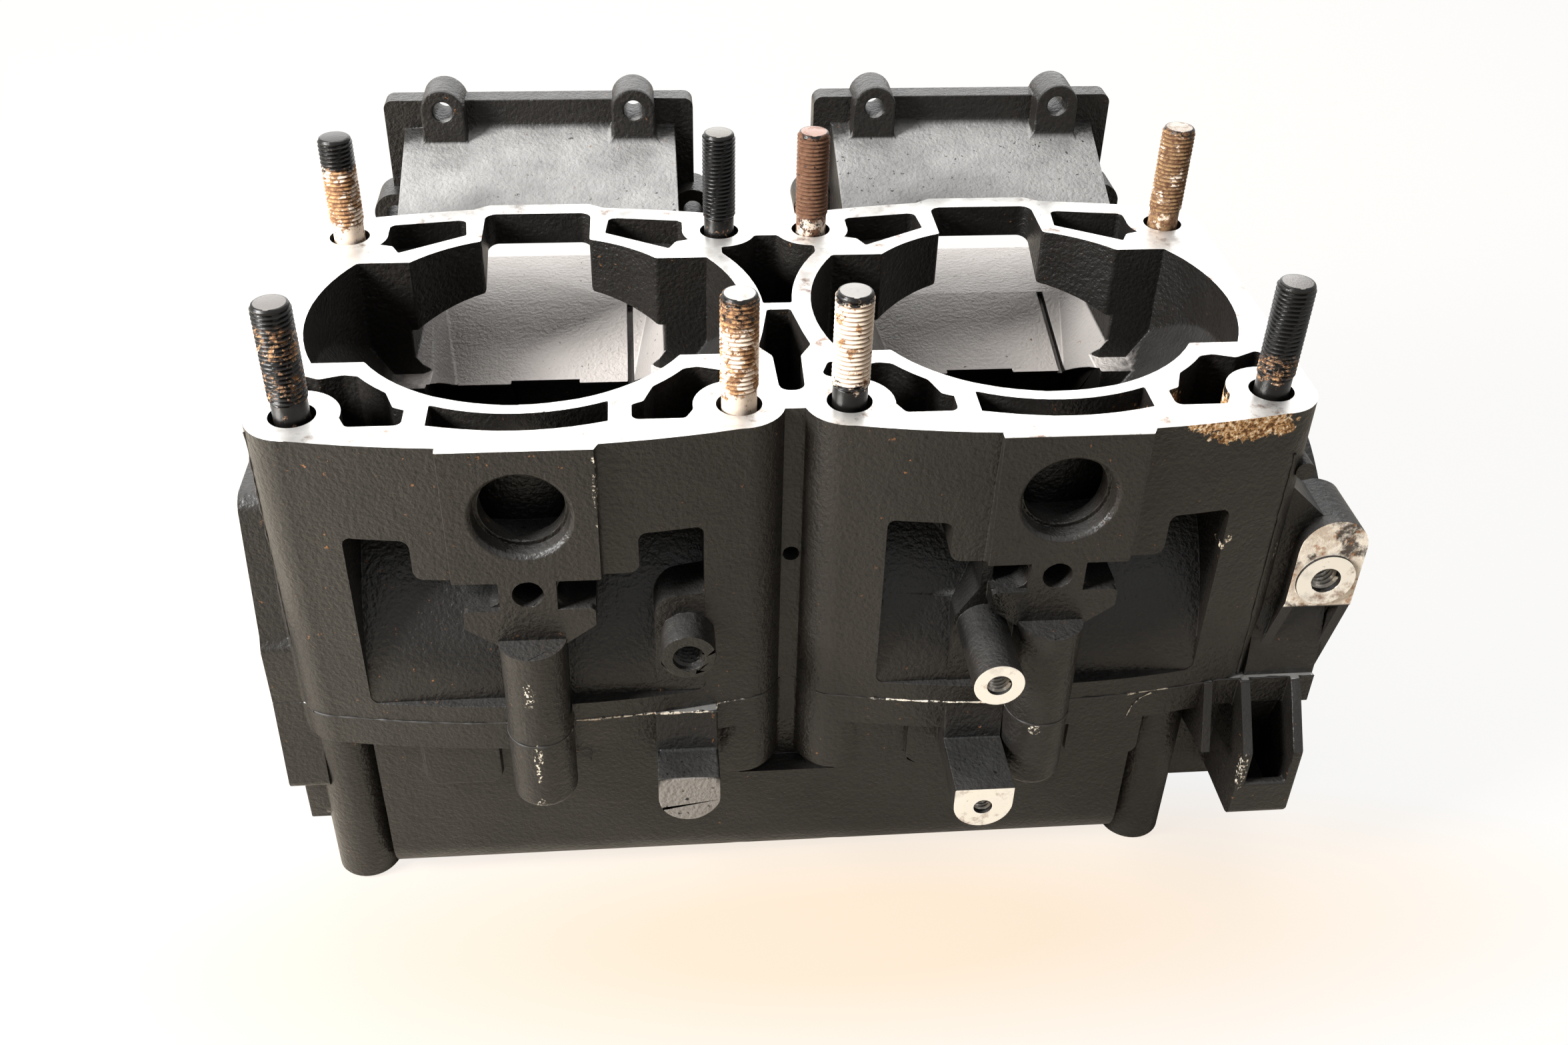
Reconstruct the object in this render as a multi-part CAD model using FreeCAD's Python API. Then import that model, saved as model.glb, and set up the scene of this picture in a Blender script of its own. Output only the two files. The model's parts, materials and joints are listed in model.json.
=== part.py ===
import FreeCAD, Part
import math
import os

V = FreeCAD.Vector

# Two-cylinder two-stroke crankcase, split on the crank axis.
# X runs along the crank, -Y is the front, +Z is towards the cylinders, Z = 0 is the split.

# ---- cylinders and deck ----
bore_pitch = 140.0            # between the two cylinder axes
deck_height = 91.5            # crank axis to deck face
well_radius = 48.4            # cylinder spigot
well_ring = 4.8               # wall round the spigot below the deck
stud_span_x = 111.6
stud_span_y = 100.9
boss_radius = 11.9            # round the studs
front_bow = 5.8               # how far the front wall bows out between studs
rear_bow = 6.5
valley_depth = 8.9            # flat strip between the cylinders, behind the stud bosses

# ---- studs ----
stud_radius = 5.0             # over the thread
stud_shank = 4.6              # plain part, from inside the case to just above the deck
stud_shank_stand = 4.9
stud_stand = 31.6             # above the deck
stud_engage = 38.0            # below the deck
stud_chamfer = 1.2
stud_relief = 0.9             # wider mouth of the hole
stud_relief_depth = 14.0
thread_clear = 0.1
hole_bottom_gap = 2.0

# ---- transfer pockets beside each spigot ----
transfer_radius = 60.5
transfer_front = 25.0
transfer_rear = 32.3
transfer_depth = 14.0         # straight part below the deck
chamber_half = 35.0           # half width of a crank chamber
chamber_radius = 59.5
rod_slot_radius = 61.0
rod_slot_half = 10.8
chamber_wall = 5.0

# ---- intake ----
reed_half = 38.0              # inside the passage
reed_wall = 6.0
reed_roof_slope = 0.385
reed_roof_drop = 10.6         # below the deck at the notch wall
reed_roof_wall = 7.4          # measured upright
reed_floor_drop = 38.0
reed_floor_front = 46.4       # where the floor meets the chamber
reed_crease_y = 77.7
passage_start = 24.0          # where the passage opens under the spigot
reed_floor_wall = 6.5
reed_face_y = 112.0
reed_flange_thick = 7.5
reed_flange_half = 50.0
reed_flange_rise = 21.5       # above the deck
reed_flange_fall = 51.0       # below the deck
reed_corner = 3.0
reed_wedge = 10.0             # facet along both sides of the floor
reed_wedge_rise = 16.0
reed_groove_x = 28.0
reed_groove_width = 1.8
reed_groove_depth = 2.5
ear_half = 7.0
ear_spacing = 61.0            # between the two upper ears
ear_rise = 20.0               # bolt above the deck
ear_depth = 14.2
reed_bolt_radius = 3.1
side_ear_x = 49.3
notch_half = 16.2
notch_y = 64.5
notch_corner = 3.5
rear_bump_half = 20.0         # thicker wall behind the notch
rear_bump_stand = 2.2
rear_bump_fall = 20.0

# ---- deck pockets ----
rear_pocket_depth = 8.0
front_pocket_depth = 24.0
valley_pocket_depth = 40.0
slot_half = 22.5
slot_depth = 33.0
slot_wall = 4.1
slot_outer = 60.3

# ---- front pad and windows ----
pad_half = 19.3
pad_front = 69.8
pad_height = 40.7
window_half = 46.0
window_step_half = 29.0
window_top = 28.4
window_sill = 6.2             # above the split
window_back = 33.0
window_corner = 2.5
neck_half = 7.5
neck_corner = 3.5
shoulder_half = 17.2
shoulder_top = 49.8
shoulder_low = 55.5
shoulder_foot = 62.0
coolant_drop = 20.0
coolant_radius = 11.0
coolant_mouth = 12.3
coolant_mouth_depth = 5.0
coolant_bevel = 1.1
drain_drop = 44.6
drain_radius = 4.1
vent_drop = 46.6
vent_radius = 2.25

# ---- case bolts and their columns ----
column_radius = 9.0
column_y = 69.2
column_rise = 31.5
column_fall = 25.0
foot_ease = 2.2               # lower edge of a column
leg_ease = 1.2
case_bolt_radius = 4.0
case_bolt_clear = 0.3
case_bolt_head = 6.5
case_bolt_head_height = 8.0
case_bolt_socket = 3.46       # centre to corner of the hexagon
case_head_clear = 0.7
case_bolt_seat = 14.0
case_bolt_engage = 22.0
leg_radius = 9.3
leg_left_x = 128.2
leg_right_x = 113.0
leg_y = 49.8
leg_fall = 71.5
dowel_radius = 4.0
dowel_length = 12.0
dowel_clear = 0.05
dowel_x = 35.0
dowel_y = 52.0

# ---- crank line ----
bearing_radius = 36.0
bearing_width = 18.0
shaft_radius = 31.0

# ---- round bosses and lugs on the front ----
boss_drop = 64.7
boss_right_x = 52.3
boss_right_y = 90.0
boss_right_radius = 6.85
boss_right_bore = 3.3
boss_left_x = -28.8
boss_left_y = 74.3
boss_left_radius = 7.4
boss_left_bore = 4.3
boss_bore_depth = 20.0
lug_top = 11.5                # below the split
lug_right_y = 90.5
lug_right_half = 8.35
lug_right_height = 14.6
lug_right_bore = 2.6
lug_left_y = 81.0
lug_left_half = 8.7
lug_left_height = 16.5
lug_root_y = 58.0
lug_brow = 3.5

# ---- lower case ----
rim_thick = 10.0
belly_front = 60.5
belly_fall = 71.0
belly_corner = 15.0
belly_right_x = 104.0
end_fall = 50.0
end_front = 54.5
skirt_wall = 11.0
skirt_rib = 6.0
valley_column_fall = 31.0
panel_fall = 28.5
panel_stand = 2.2
panel_inner = 13.0
panel_outer = 35.0
panel_corner = 4.0

# ---- end plates ----
plate_thick = 7.6
plate_front = 55.9
plate_front_top = 47.0
plate_top = 64.0              # above the split
plate_step = 23.0
plate_fall = 32.5
plate_corner = 5.0
foot_thick = 5.5
foot_fall = 50.5

# ---- right end, its ear and the lower bracket ----
end_right_x = 154.5
rim_radius = 61.0              # round magneto flange
rim_recess_radius = 52.0
rim_recess_depth = 9.0
cover_clear = 3.0             # round the magneto housing's spigot
knob_radius = 2.6
knob_z = 71.5
ear_x = 150.4
ear_half_width = 9.75
ear_front = 60.0
ear_centre = 34.4
ear_foot = 24.7
ear_arch = 44.6
ear_length = 21.0
ear_bore = 4.2
ear_bore_depth = 20.0
ear_ring = 8.4
ear_ring_stand = 0.8
ear_rib = 3.0
bracket_inner_x = 131.9
bracket_outer_x = 150.0
bracket_rib = 3.0
bracket_front = 77.0
bracket_knee = 17.5
bracket_fall = 42.5
bracket_lip = 29.0
slim_rib_x = 121.0
slim_rib = 2.6

half_pitch = bore_pitch / 2
stud_x = stud_span_x / 2
stud_y = stud_span_y / 2
case_half = half_pitch + stud_x + boss_radius
cells = (-half_pitch, half_pitch)
fronts = (-1, 1)


def spot(axis, a, b, c):
    return {"x": V(c, a, b), "y": V(a, c, b), "z": V(a, b, c)}[axis]


def trace(start, steps, axis, level):
    edges, here = [], start
    for step in steps:
        end = step[-2:]
        if len(step) == 4:
            mid = step[:2]
            arc = Part.Arc(spot(axis, *here, level), spot(axis, *mid, level), spot(axis, *end, level))
            edges.append(arc.toShape())
        else:
            edges.append(Part.makeLine(spot(axis, *here, level), spot(axis, *end, level)))
        here = end
    return Part.Wire(edges)


def extrude(wire, axis, length):
    return Part.Face(wire).extrude({"x": V(length, 0, 0), "y": V(0, length, 0), "z": V(0, 0, length)}[axis])


def rounded(points):
    """Turn corners (a, b) or (a, b, radius) into the steps of a closed outline."""
    steps = []
    for i, corner in enumerate(points):
        a, b = corner[:2]
        if len(corner) == 2:
            steps.append((a, b))
            continue
        r = corner[2]
        before, after = points[i - 1], points[(i + 1) % len(points)]
        p = V(before[0] - a, before[1] - b, 0).normalize()
        q = V(after[0] - a, after[1] - b, 0).normalize()
        half = p.getAngle(q) / 2
        reach = r / math.tan(half)
        inner = (p + q).normalize()
        mid = inner * (r / math.sin(half) - r)
        steps.append((a + p.x * reach, b + p.y * reach))
        steps.append((a + mid.x, b + mid.y, a + q.x * reach, b + q.y * reach))
    return steps


def prism(points, axis, low, high):
    steps = rounded(points)
    return extrude(trace(steps[-1][-2:], steps, axis, low), axis, high - low)


def block(x0, x1, y0, y1, z0, z1):
    return Part.makeBox(x1 - x0, y1 - y0, z1 - z0, V(x0, y0, z0))


def rod(axis, radius, a, b, low, high):
    direction = {"x": V(1, 0, 0), "y": V(0, 1, 0), "z": V(0, 0, 1)}[axis]
    return Part.makeCylinder(radius, high - low, spot(axis, a, b, low), direction)


def footed_column(radius, ease, x, y, low, high):
    """An upright column whose lower edge is eased off."""
    side = [(0, low), (radius - ease, low), (radius, low + ease), (radius, high), (0, high)]
    wire = trace(side[-1], side, "y", 0)
    column = Part.Face(wire).revolve(V(0, 0, 0), V(0, 0, 1), 360)
    column.translate(V(x, y, 0))
    return column


def cone(axis, r_low, r_high, a, b, low, high):
    direction = {"x": V(1, 0, 0), "y": V(0, 1, 0), "z": V(0, 0, 1)}[axis]
    return Part.makeCone(r_low, r_high, high - low, spot(axis, a, b, low), direction)


def moved(points, x):
    return [(p[0] + x,) + tuple(p[1:]) for p in points]


def flipped(points):
    return [(-p[0],) + tuple(p[1:]) for p in points]


def union(shapes):
    return shapes[0].fuse(shapes[1:]).removeSplitter()


def cell_plan(x):
    """Outline of one cylinder's block from above: stud bosses at its corners, walls bowed between them."""
    lean = boss_radius * math.sqrt(0.5)
    left, right = x - stud_x, x + stud_x
    tip = stud_y + boss_radius
    return [
        (left - boss_radius, -stud_y),
        (left - lean, -stud_y - lean, left, -tip),
        (x, -tip - front_bow, right, -tip),
        (right + lean, -stud_y - lean, right + boss_radius, -stud_y),
        (right + boss_radius, stud_y),
        (right + lean, stud_y + lean, right, tip),
        (x, tip + rear_bow, left, tip),
        (left - lean, stud_y + lean, left - boss_radius, stud_y),
    ]


def case_slab(low, high):
    slabs = []
    for x in cells:
        steps = cell_plan(x)
        slabs.append(extrude(trace(steps[-1][-2:], steps, "z", low), "z", high - low))
    inner = half_pitch - stud_x
    strip_y = stud_y + boss_radius - valley_depth
    return union(slabs + [block(-inner, inner, -strip_y, strip_y, low, high)])


def deck(drop):
    return deck_height - drop


def roof(y):
    return deck(reed_roof_drop) + (y - notch_y) * reed_roof_slope


def column_spots():
    spots = [(x, side * column_y) for x in cells for side in fronts]
    spots += [(x * (half_pitch - stud_x), side * stud_y) for x in (-1, 1) for side in fronts]
    spots += [(x, side * leg_y) for x in (-leg_left_x, leg_right_x) for side in fronts]
    return spots


def stud_spots():
    return [(x + dx, dy) for x in cells for dx in (-stud_x, stud_x) for dy in (-stud_y, stud_y)]


# ---- upper case, solid forms ----
def front_pad(x):
    tapered = [
        (-shoulder_half, deck(shoulder_top), 1.5), (-shoulder_half, deck(shoulder_low)),
        (-column_radius, deck(shoulder_foot)), (column_radius, deck(shoulder_foot)),
        (shoulder_half, deck(shoulder_low)), (shoulder_half, deck(shoulder_top), 1.5),
    ]
    pad = block(x - pad_half, x + pad_half, -pad_front, -stud_y, deck(pad_height), deck_height)
    neck = block(x - neck_half, x + neck_half, -pad_front, -stud_y, deck(shoulder_low), deck(pad_height))
    shoulder = prism(moved(tapered, x), "y", -pad_front, -stud_y)
    return [pad, neck, shoulder]


def reed_box(x):
    out = reed_half + reed_wall
    root = stud_y
    top = roof(root) + reed_roof_wall
    face = reed_face_y - 1.0
    under = deck(reed_floor_drop + reed_floor_wall)
    low = deck(reed_floor_front + reed_floor_wall) - 6.0
    side = [
        (root, top), (face, roof(face) + reed_roof_wall), (face, under),
        (reed_crease_y, under), (root, low),
    ]
    return prism(side, "x", x - out, x + out)


def reed_flange(x):
    high, low = deck_height + reed_flange_rise, deck(reed_flange_fall)
    plate = [(-reed_flange_half, low, reed_corner), (reed_flange_half, low, reed_corner),
             (reed_flange_half, high, reed_corner), (-reed_flange_half, high, reed_corner)]
    pieces = [prism(moved(plate, x), "y", reed_face_y - reed_flange_thick, reed_face_y)]
    middle = (high + low) / 2
    ear_z = deck_height + ear_rise
    for dx in (-ear_spacing / 2, ear_spacing / 2):
        for z, way in ((ear_z, -1), (2 * middle - ear_z, 1)):
            near = reed_face_y - ear_depth
            pieces.append(rod("y", ear_half, x + dx, z, near, reed_face_y))
            foot = z + way * (ear_rise - reed_roof_drop + 4.0)
            lower, upper = sorted((z, foot))
            pieces.append(block(x + dx - ear_half, x + dx + ear_half, near, reed_face_y, lower, upper))
    for dx in (-side_ear_x, side_ear_x):
        pieces.append(rod("y", ear_half, x + dx, middle, reed_face_y - ear_depth, reed_face_y))
    return pieces


def rear_bump(x):
    edge = stud_y + boss_radius + rear_bow
    foot, crown = rear_bump_half, rear_bump_half - 4.5
    plan = [
        (-foot, edge - 4.0), (foot, edge - 4.0), (foot, edge - 0.8),
        (crown, edge + rear_bump_stand, 3.0), (-crown, edge + rear_bump_stand, 3.0), (-foot, edge - 0.8),
    ]
    return prism(moved(plan, x), "z", deck(rear_bump_fall), deck_height)


def columns_upper():
    low_rise = deck(reed_floor_drop) - reed_floor_wall
    pieces = [rod("z", column_radius, x, -column_y, 0, column_rise) for x in cells]
    pieces += [rod("z", column_radius, x, column_y, 0, low_rise) for x in cells]
    return pieces


def end_plate_left():
    x0, x1 = -case_half - plate_thick, -case_half + 4.0
    upper = [(-plate_front_top, plate_top, plate_corner), (plate_front_top, plate_top, plate_corner),
             (plate_front - 2.0, plate_step), (plate_front, plate_step - 4.0), (plate_front, 0),
             (-plate_front, 0), (-plate_front, plate_step - 4.0), (-plate_front + 2.0, plate_step)]
    return prism(upper, "x", x0, x1)


def end_right():
    near, far = ear_x - ear_half_width, ear_x + ear_half_width
    crown, turn = ear_arch + ear_half_width, ear_half_width - 0.01
    root = case_half - 8.0
    side = [
        (root, 0), (end_right_x, 0), (far - 1.0, ear_foot), (far - 1.0, ear_arch),
        (ear_x, ear_arch + 6.0), (root, deck(22.0)),
    ]
    wall = prism(side, "y", -ear_front + 4.0, -ear_front + ear_length)
    face = [(near, ear_foot), (far, ear_foot), (far, crown, turn), (near, crown, turn)]
    ear = prism(face, "y", -ear_front, -ear_front + ear_length)
    ring = rod("y", ear_ring, ear_x, ear_centre, -ear_front - ear_ring_stand, -ear_front + 5.0)
    rib_foot = case_half - 4.0
    rib_top = ear_foot + 1
    inner = [(rib_foot, 0), (rib_foot + ear_rib, 0), (near + ear_rib, rib_top), (near, rib_top)]
    outer = [(end_right_x - ear_rib, 0), (end_right_x, 0), (far, rib_top), (far - ear_rib, rib_top)]
    ribs = [prism(p, "y", -ear_front, -ear_front + 12.0) for p in (inner, outer)]
    knob = rod("y", knob_radius, case_half - 1.5, knob_z, -ear_front, -stud_y)
    cover_room = rod("x", rim_recess_radius + cover_clear, 0, 0, end_right_x, ear_x + 2 * ear_half_width)
    lug_parts = union([wall, ear, ring] + ribs).cut(cover_room)
    return [lug_parts, knob, magneto_flange(0, rim_radius + 1)]


def magneto_flange(low, high):
    disc = rod("x", rim_radius, 0, 0, case_half - 4.0, end_right_x)
    return disc.common(block(case_half - 5.0, end_right_x, -rim_radius, rim_radius, low, high))


def boss_blocks():
    z = deck(boss_drop)
    right_edge = half_pitch - neck_half
    left_edge = boss_right_x - boss_right_radius - 1.0
    web = [(half_pitch - pad_half, deck(pad_height) + 1), (half_pitch - pad_half + 3.3, deck(pad_height) + 1),
           (half_pitch - pad_half + 3.3, deck(shoulder_top)), (right_edge, deck(shoulder_top)),
           (right_edge, window_sill - 1), (left_edge, window_sill - 1), (left_edge, z + 2.7, 4.0),
           (half_pitch - pad_half, z + 12.7, 4.0)]
    right = prism(web, "y", -belly_front - 4.0, -window_back)
    tube = rod("y", boss_right_radius, boss_right_x, z, -boss_right_y, -belly_front)
    window_edge = -half_pitch + window_half
    low = boss_left_x - boss_left_radius - 1.4
    arch = [
        (low, window_sill - 1), (window_edge + 1, window_sill - 1),
        (window_edge + 1, z + 14.0), (low, z + 12.5, 6.5),
    ]
    left = prism(arch, "y", -belly_front - 3.5, -window_back)
    stub = rod("y", boss_left_radius, boss_left_x, z, -boss_left_y, -belly_front)
    return [right, tube, left, stub]


# ---- upper case, hollows ----
def well_cut(x):
    slant = [(-transfer_radius, deck_height + 1), (-transfer_radius, deck(transfer_depth)),
             (-chamber_half, deck(transfer_depth) - 40.0), (-chamber_half, 30.0), (chamber_half, 30.0),
             (chamber_half, deck(transfer_depth) - 40.0), (transfer_radius, deck(transfer_depth)),
             (transfer_radius, deck_height + 1)]
    funnel = prism(moved(slant, x), "y", -well_radius - 2, transfer_radius)
    roofed = block(x - bore_pitch, x + bore_pitch, passage_start, bore_pitch, 0, deck(reed_floor_drop))
    funnel = funnel.cut(roofed)
    spigot = rod("z", well_radius, x, 0, 20.0, deck_height + 1)
    wide = rod("z", transfer_radius, x, 0, 20.0, deck_height + 1)
    sides = (x - transfer_radius, x + transfer_radius, -transfer_front, transfer_rear)
    wide = wide.common(block(*sides, 20.0, deck_height + 1))
    return funnel.common(spigot.fuse(wide))


def notch_cut(x):
    plan = [
        (-notch_half, 30.0), (notch_half, 30.0),
        (notch_half, notch_y, notch_corner), (-notch_half, notch_y, notch_corner),
    ]
    return prism(moved(plan, x), "z", deck(reed_roof_drop) - 8.0, deck_height + 1)


def passage_cut(x):
    start, end = passage_start, reed_face_y + 1.0
    floor = deck(reed_floor_drop)
    meet = math.sqrt(rod_slot_radius**2 - deck(reed_floor_front)**2)
    side = [
        (start, roof(start)), (end, roof(end)), (end, floor), (reed_crease_y, floor),
        (meet, deck(reed_floor_front)), (start, deck(reed_floor_front)),
    ]
    duct = prism(side, "x", x - reed_half, x + reed_half)
    wedge_foot = deck(reed_floor_front)
    for way in (-1, 1):
        inner, outer = way * (reed_half - reed_wedge), way * (reed_half + 1)
        wedge = [
            (inner, wedge_foot - 4.0), (outer, wedge_foot - 4.0),
            (outer, wedge_foot + reed_wedge_rise), (inner, wedge_foot),
        ]
        duct = duct.cut(prism(moved(wedge, x), "y", start - 1, reed_crease_y))
    fall = (reed_floor_front - reed_floor_drop) / (reed_crease_y - meet)
    near = meet - 4
    near_z = floor - fall * (reed_crease_y - near) - reed_groove_depth
    end_z = floor - reed_groove_depth
    line = [(near, near_z), (reed_crease_y, end_z), (reed_crease_y, floor + 1), (near, floor + 1)]
    groove = prism(line, "x", x + reed_groove_x - reed_groove_width, x + reed_groove_x)
    return duct.fuse(groove)


def chamber_cut(x):
    wide = rod("x", chamber_radius, 0, 0, x - chamber_half, x + chamber_half)
    slot = rod("x", rod_slot_radius, 0, 0, x - rod_slot_half, x + rod_slot_half)
    return [wide, slot]


def crank_cut():
    cuts = [rod("x", shaft_radius, 0, 0, -case_half - 30.0, end_right_x + 20.0)]
    cuts.append(rod("x", rim_recess_radius, 0, 0, end_right_x - rim_recess_depth, end_right_x + 1))
    for x in cells:
        for way in (-1, 1):
            a = x + way * chamber_half
            b = a + way * bearing_width
            cuts.append(rod("x", bearing_radius, 0, 0, min(a, b), max(a, b)))
        cuts += chamber_cut(x)
    return cuts


def window_cut(x, way):
    shape = [
        (window_half, window_sill, window_corner), (window_half, deck(window_top), window_corner),
        (window_step_half, deck(window_top), window_corner), (window_step_half, deck(pad_height), window_corner),
        (neck_half, deck(pad_height), neck_corner), (neck_half, deck(shoulder_top), neck_corner),
        (shoulder_half, deck(shoulder_top)), (shoulder_half, deck(shoulder_low)),
        (column_radius - 0.5, deck(shoulder_foot)), (column_radius - 0.5, window_sill),
    ]
    points = shape if way > 0 else flipped(shape)
    hole = prism(moved(points, x), "y", -pad_front - 20.0, -window_back)
    hole = hole.cut(rod("x", rod_slot_radius + chamber_wall - 1.5, 0, 0, x - bore_pitch, x + bore_pitch))
    return hole.cut(rod("z", well_radius + well_ring, x, 0, 0, deck_height))


def front_slot_cut(x):
    inner = well_radius + slot_wall
    a = math.sqrt(inner**2 - slot_half**2)
    b = slot_outer - 3.4
    steps = [(slot_half, -a), (0, -inner, -slot_half, -a), (-slot_half, -b), (0, -slot_outer, slot_half, -b)]
    wire = trace((slot_half, -b), [(p[0],) + tuple(p[1:]) for p in steps], "z", deck(slot_depth))
    shape = extrude(wire, "z", slot_depth + 1)
    shape.translate(V(x, 0, 0))
    return shape


def corner_pocket_cut(x, way):
    plan = [
        (59.0, -30.0, 1.5), (52.0, -33.5), (46.0, -31.5), (42.0, -32.3), (34.0, -41.0, 3.0),
        (31.5, -48.0, 1.5), (28.5, -49.5), (28.5, -56.5, 2.0), (42.0, -56.5, 1.5),
        (stud_x - boss_radius + 1, -stud_y), (stud_x - 5.0, -stud_y + 8.0), (61.5, -37.0, 2.0),
    ]
    points = plan if way > 0 else flipped(plan)
    hole = prism(moved(points, x), "z", deck(front_pocket_depth), deck_height + 1)
    keep = rod("z", boss_radius, x + way * stud_x, -stud_y, 0, deck_height + 2)
    ring = rod("z", well_radius + well_ring, x, 0, 0, deck_height + 2)
    return hole.cut(keep).cut(ring)


def rear_pocket_cut(x, way):
    plan = [
        (22.0, 60.5, 2.0), (44.5, 57.5, 2.0), (44.5, 52.0), (46.5, 44.5, 1.0),
        (42.0, 43.0), (40.0, 38.8), (21.0, 50.0),
    ]
    points = plan if way > 0 else flipped(plan)
    hole = prism(moved(points, x), "z", deck(rear_pocket_depth), deck_height + 1)
    keep = rod("z", boss_radius - 0.5, x + way * stud_x, stud_y, 0, deck_height + 2)
    ring = rod("z", well_radius + well_ring - 1.2, x, 0, 0, deck_height + 2)
    return hole.cut(keep).cut(ring)


def valley_pocket_cuts():
    rear = block(-14.0, 14.0, 3.0, stud_y - 4.0, deck(valley_pocket_depth), deck_height + 1)
    plan = [
        (-3.3, -1.0), (3.3, -1.0), (5.5, -14.0), (7.0, -21.0), (3.8, -27.0), (3.3, -44.5, 3.0),
        (-3.3, -44.5, 3.0), (-3.8, -27.0), (-7.0, -21.0), (-5.5, -14.0),
    ]
    front = prism(plan, "z", deck(valley_pocket_depth), deck_height + 1)
    top = deck_height + 2
    keep = [rod("z", half_pitch - 4.0, x, 0, 0, top) for x in cells]
    inner = half_pitch - stud_x
    keep += [rod("z", boss_radius - 0.5, x, stud_y, 0, top) for x in (-inner, inner)]
    return [rear.cut(keep), front]


def coolant_cuts(x):
    z = deck(coolant_drop)
    inner = well_radius + slot_wall + 0.5
    return [
        rod("y", coolant_radius, x, z, -pad_front - 1, -inner),
        rod("y", coolant_mouth, x, z, -pad_front - 1, -pad_front + coolant_mouth_depth),
        cone("y", coolant_mouth + coolant_bevel, coolant_mouth, x, z, -pad_front, -pad_front + coolant_bevel),
        rod("y", drain_radius, x, deck(drain_drop), -pad_front - 1, -pad_front + 14.0),
    ]


def stud_cuts():
    cuts = []
    bottom = deck(stud_engage + hole_bottom_gap)
    for x, y in stud_spots():
        cuts.append(rod("z", stud_shank + thread_clear, x, y, bottom, deck_height + 1))
        cuts.append(rod("z", stud_radius + stud_relief, x, y, deck(stud_relief_depth), deck_height + 1))
    return cuts


def joint_cuts_upper():
    top = case_bolt_engage + hole_bottom_gap
    cuts = [rod("z", case_bolt_radius + thread_clear, x, y, -1, top) for x, y in column_spots()]
    cuts += [rod("z", dowel_radius + dowel_clear, x, y, -1, dowel_length / 2 + 0.3) for x, y in dowel_spots()]
    return cuts


def dowel_spots():
    return [(-dowel_x, -dowel_y), (dowel_x, dowel_y)]


def reed_bolt_cuts(x):
    low, high = reed_face_y - ear_depth - 1, reed_face_y + 1
    middle = deck_height + (reed_flange_rise - reed_flange_fall) / 2
    ear_z = deck_height + ear_rise
    spots = [(dx, z) for dx in (-ear_spacing / 2, ear_spacing / 2) for z in (ear_z, 2 * middle - ear_z)]
    spots += [(-side_ear_x, middle), (side_ear_x, middle)]
    return [rod("y", reed_bolt_radius, x + dx, z, low, high) for dx, z in spots]


def make_upper():
    solids = [case_slab(0, deck_height)]
    for x in cells:
        solids += front_pad(x) + [reed_box(x), rear_bump(x)] + reed_flange(x)
    solids += columns_upper() + [end_plate_left()] + end_right()
    body = union(solids)
    cuts = [window_cut(x, way) for x in cells for way in (-1, 1)]
    body = body.cut(cuts)
    body = union([body] + boss_blocks())
    cuts = []
    for x in cells:
        cuts += [well_cut(x), notch_cut(x), passage_cut(x), front_slot_cut(x)]
        cuts += coolant_cuts(x) + reed_bolt_cuts(x)
        for way in (-1, 1):
            cuts += [corner_pocket_cut(x, way), rear_pocket_cut(x, way)]
    cuts += valley_pocket_cuts() + stud_cuts() + joint_cuts_upper() + crank_cut()
    z = deck(boss_drop)
    threads = (
        (boss_right_bore, boss_right_x, z, boss_right_y, boss_bore_depth),
        (boss_left_bore, boss_left_x, z, boss_left_y, boss_bore_depth),
        (ear_bore, ear_x, ear_centre, ear_front, ear_bore_depth),
    )
    for radius, x, height, front, depth in threads:
        cuts.append(rod("y", radius, x, height, -front - 2, -front + depth))
    strip = stud_y + boss_radius - valley_depth
    cuts.append(rod("y", vent_radius, 0, deck(vent_drop), -strip - 5, -strip + 12.0))
    return body.cut(cuts).removeSplitter()


# ---- lower case ----
def lug(x, half, front, height):
    low, turn = -lug_top - height, half - 0.01
    face = [(x - half, -lug_top), (x - half, low, turn), (x + half, low, turn), (x + half, -lug_top)]
    tongue = prism(face, "y", -front, -lug_root_y)
    brow_front = stud_y + boss_radius + front_bow - 1.5
    toe = -brow_front - lug_brow
    side = [(-lug_root_y, 0), (-brow_front, 0), (toe, -lug_top), (-lug_root_y, -lug_top)]
    brow = prism(side, "x", x - half, x + half)
    return [tongue, brow]


def bracket():
    low = -bracket_fall
    root = -end_front + 2.0
    front, top_front = -bracket_front, -ear_front - 3.7
    side = [(root, 0), (top_front, 0), (front, -bracket_knee), (front, low, 3.0), (root, low)]
    pieces = [prism(side, "x", x, x + bracket_rib) for x in (bracket_inner_x, bracket_outer_x - bracket_rib)]
    wall = front + bracket_rib
    floor = low + bracket_rib
    cup = [(root, low), (front, low, 3.0), (front, -bracket_lip), (wall, -bracket_lip), (wall, floor), (root, floor)]
    pieces.append(prism(cup, "x", bracket_inner_x, bracket_outer_x))
    slim = [(root, 0), (top_front, 0), (front + 4.5, -bracket_knee - 2.0), (root, -bracket_knee - 5.0)]
    pieces.append(prism(slim, "x", slim_rib_x, slim_rib_x + slim_rib))
    return pieces


def belly():
    side = [
        (-belly_front, 0), (-belly_front, -belly_fall, belly_corner),
        (belly_front, -belly_fall, belly_corner), (belly_front, 0),
    ]
    body = prism(side, "x", -case_half + boss_radius + leg_radius - 2.0, belly_right_x)
    strip = stud_y + boss_radius - valley_depth
    inner = half_pitch - stud_x
    for way in (-1, 1):
        lo, hi = sorted((way * strip, way * (belly_front + 5)))
        body = body.cut(block(-inner, inner, lo, hi, -valley_column_fall, 1))
    return body


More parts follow.
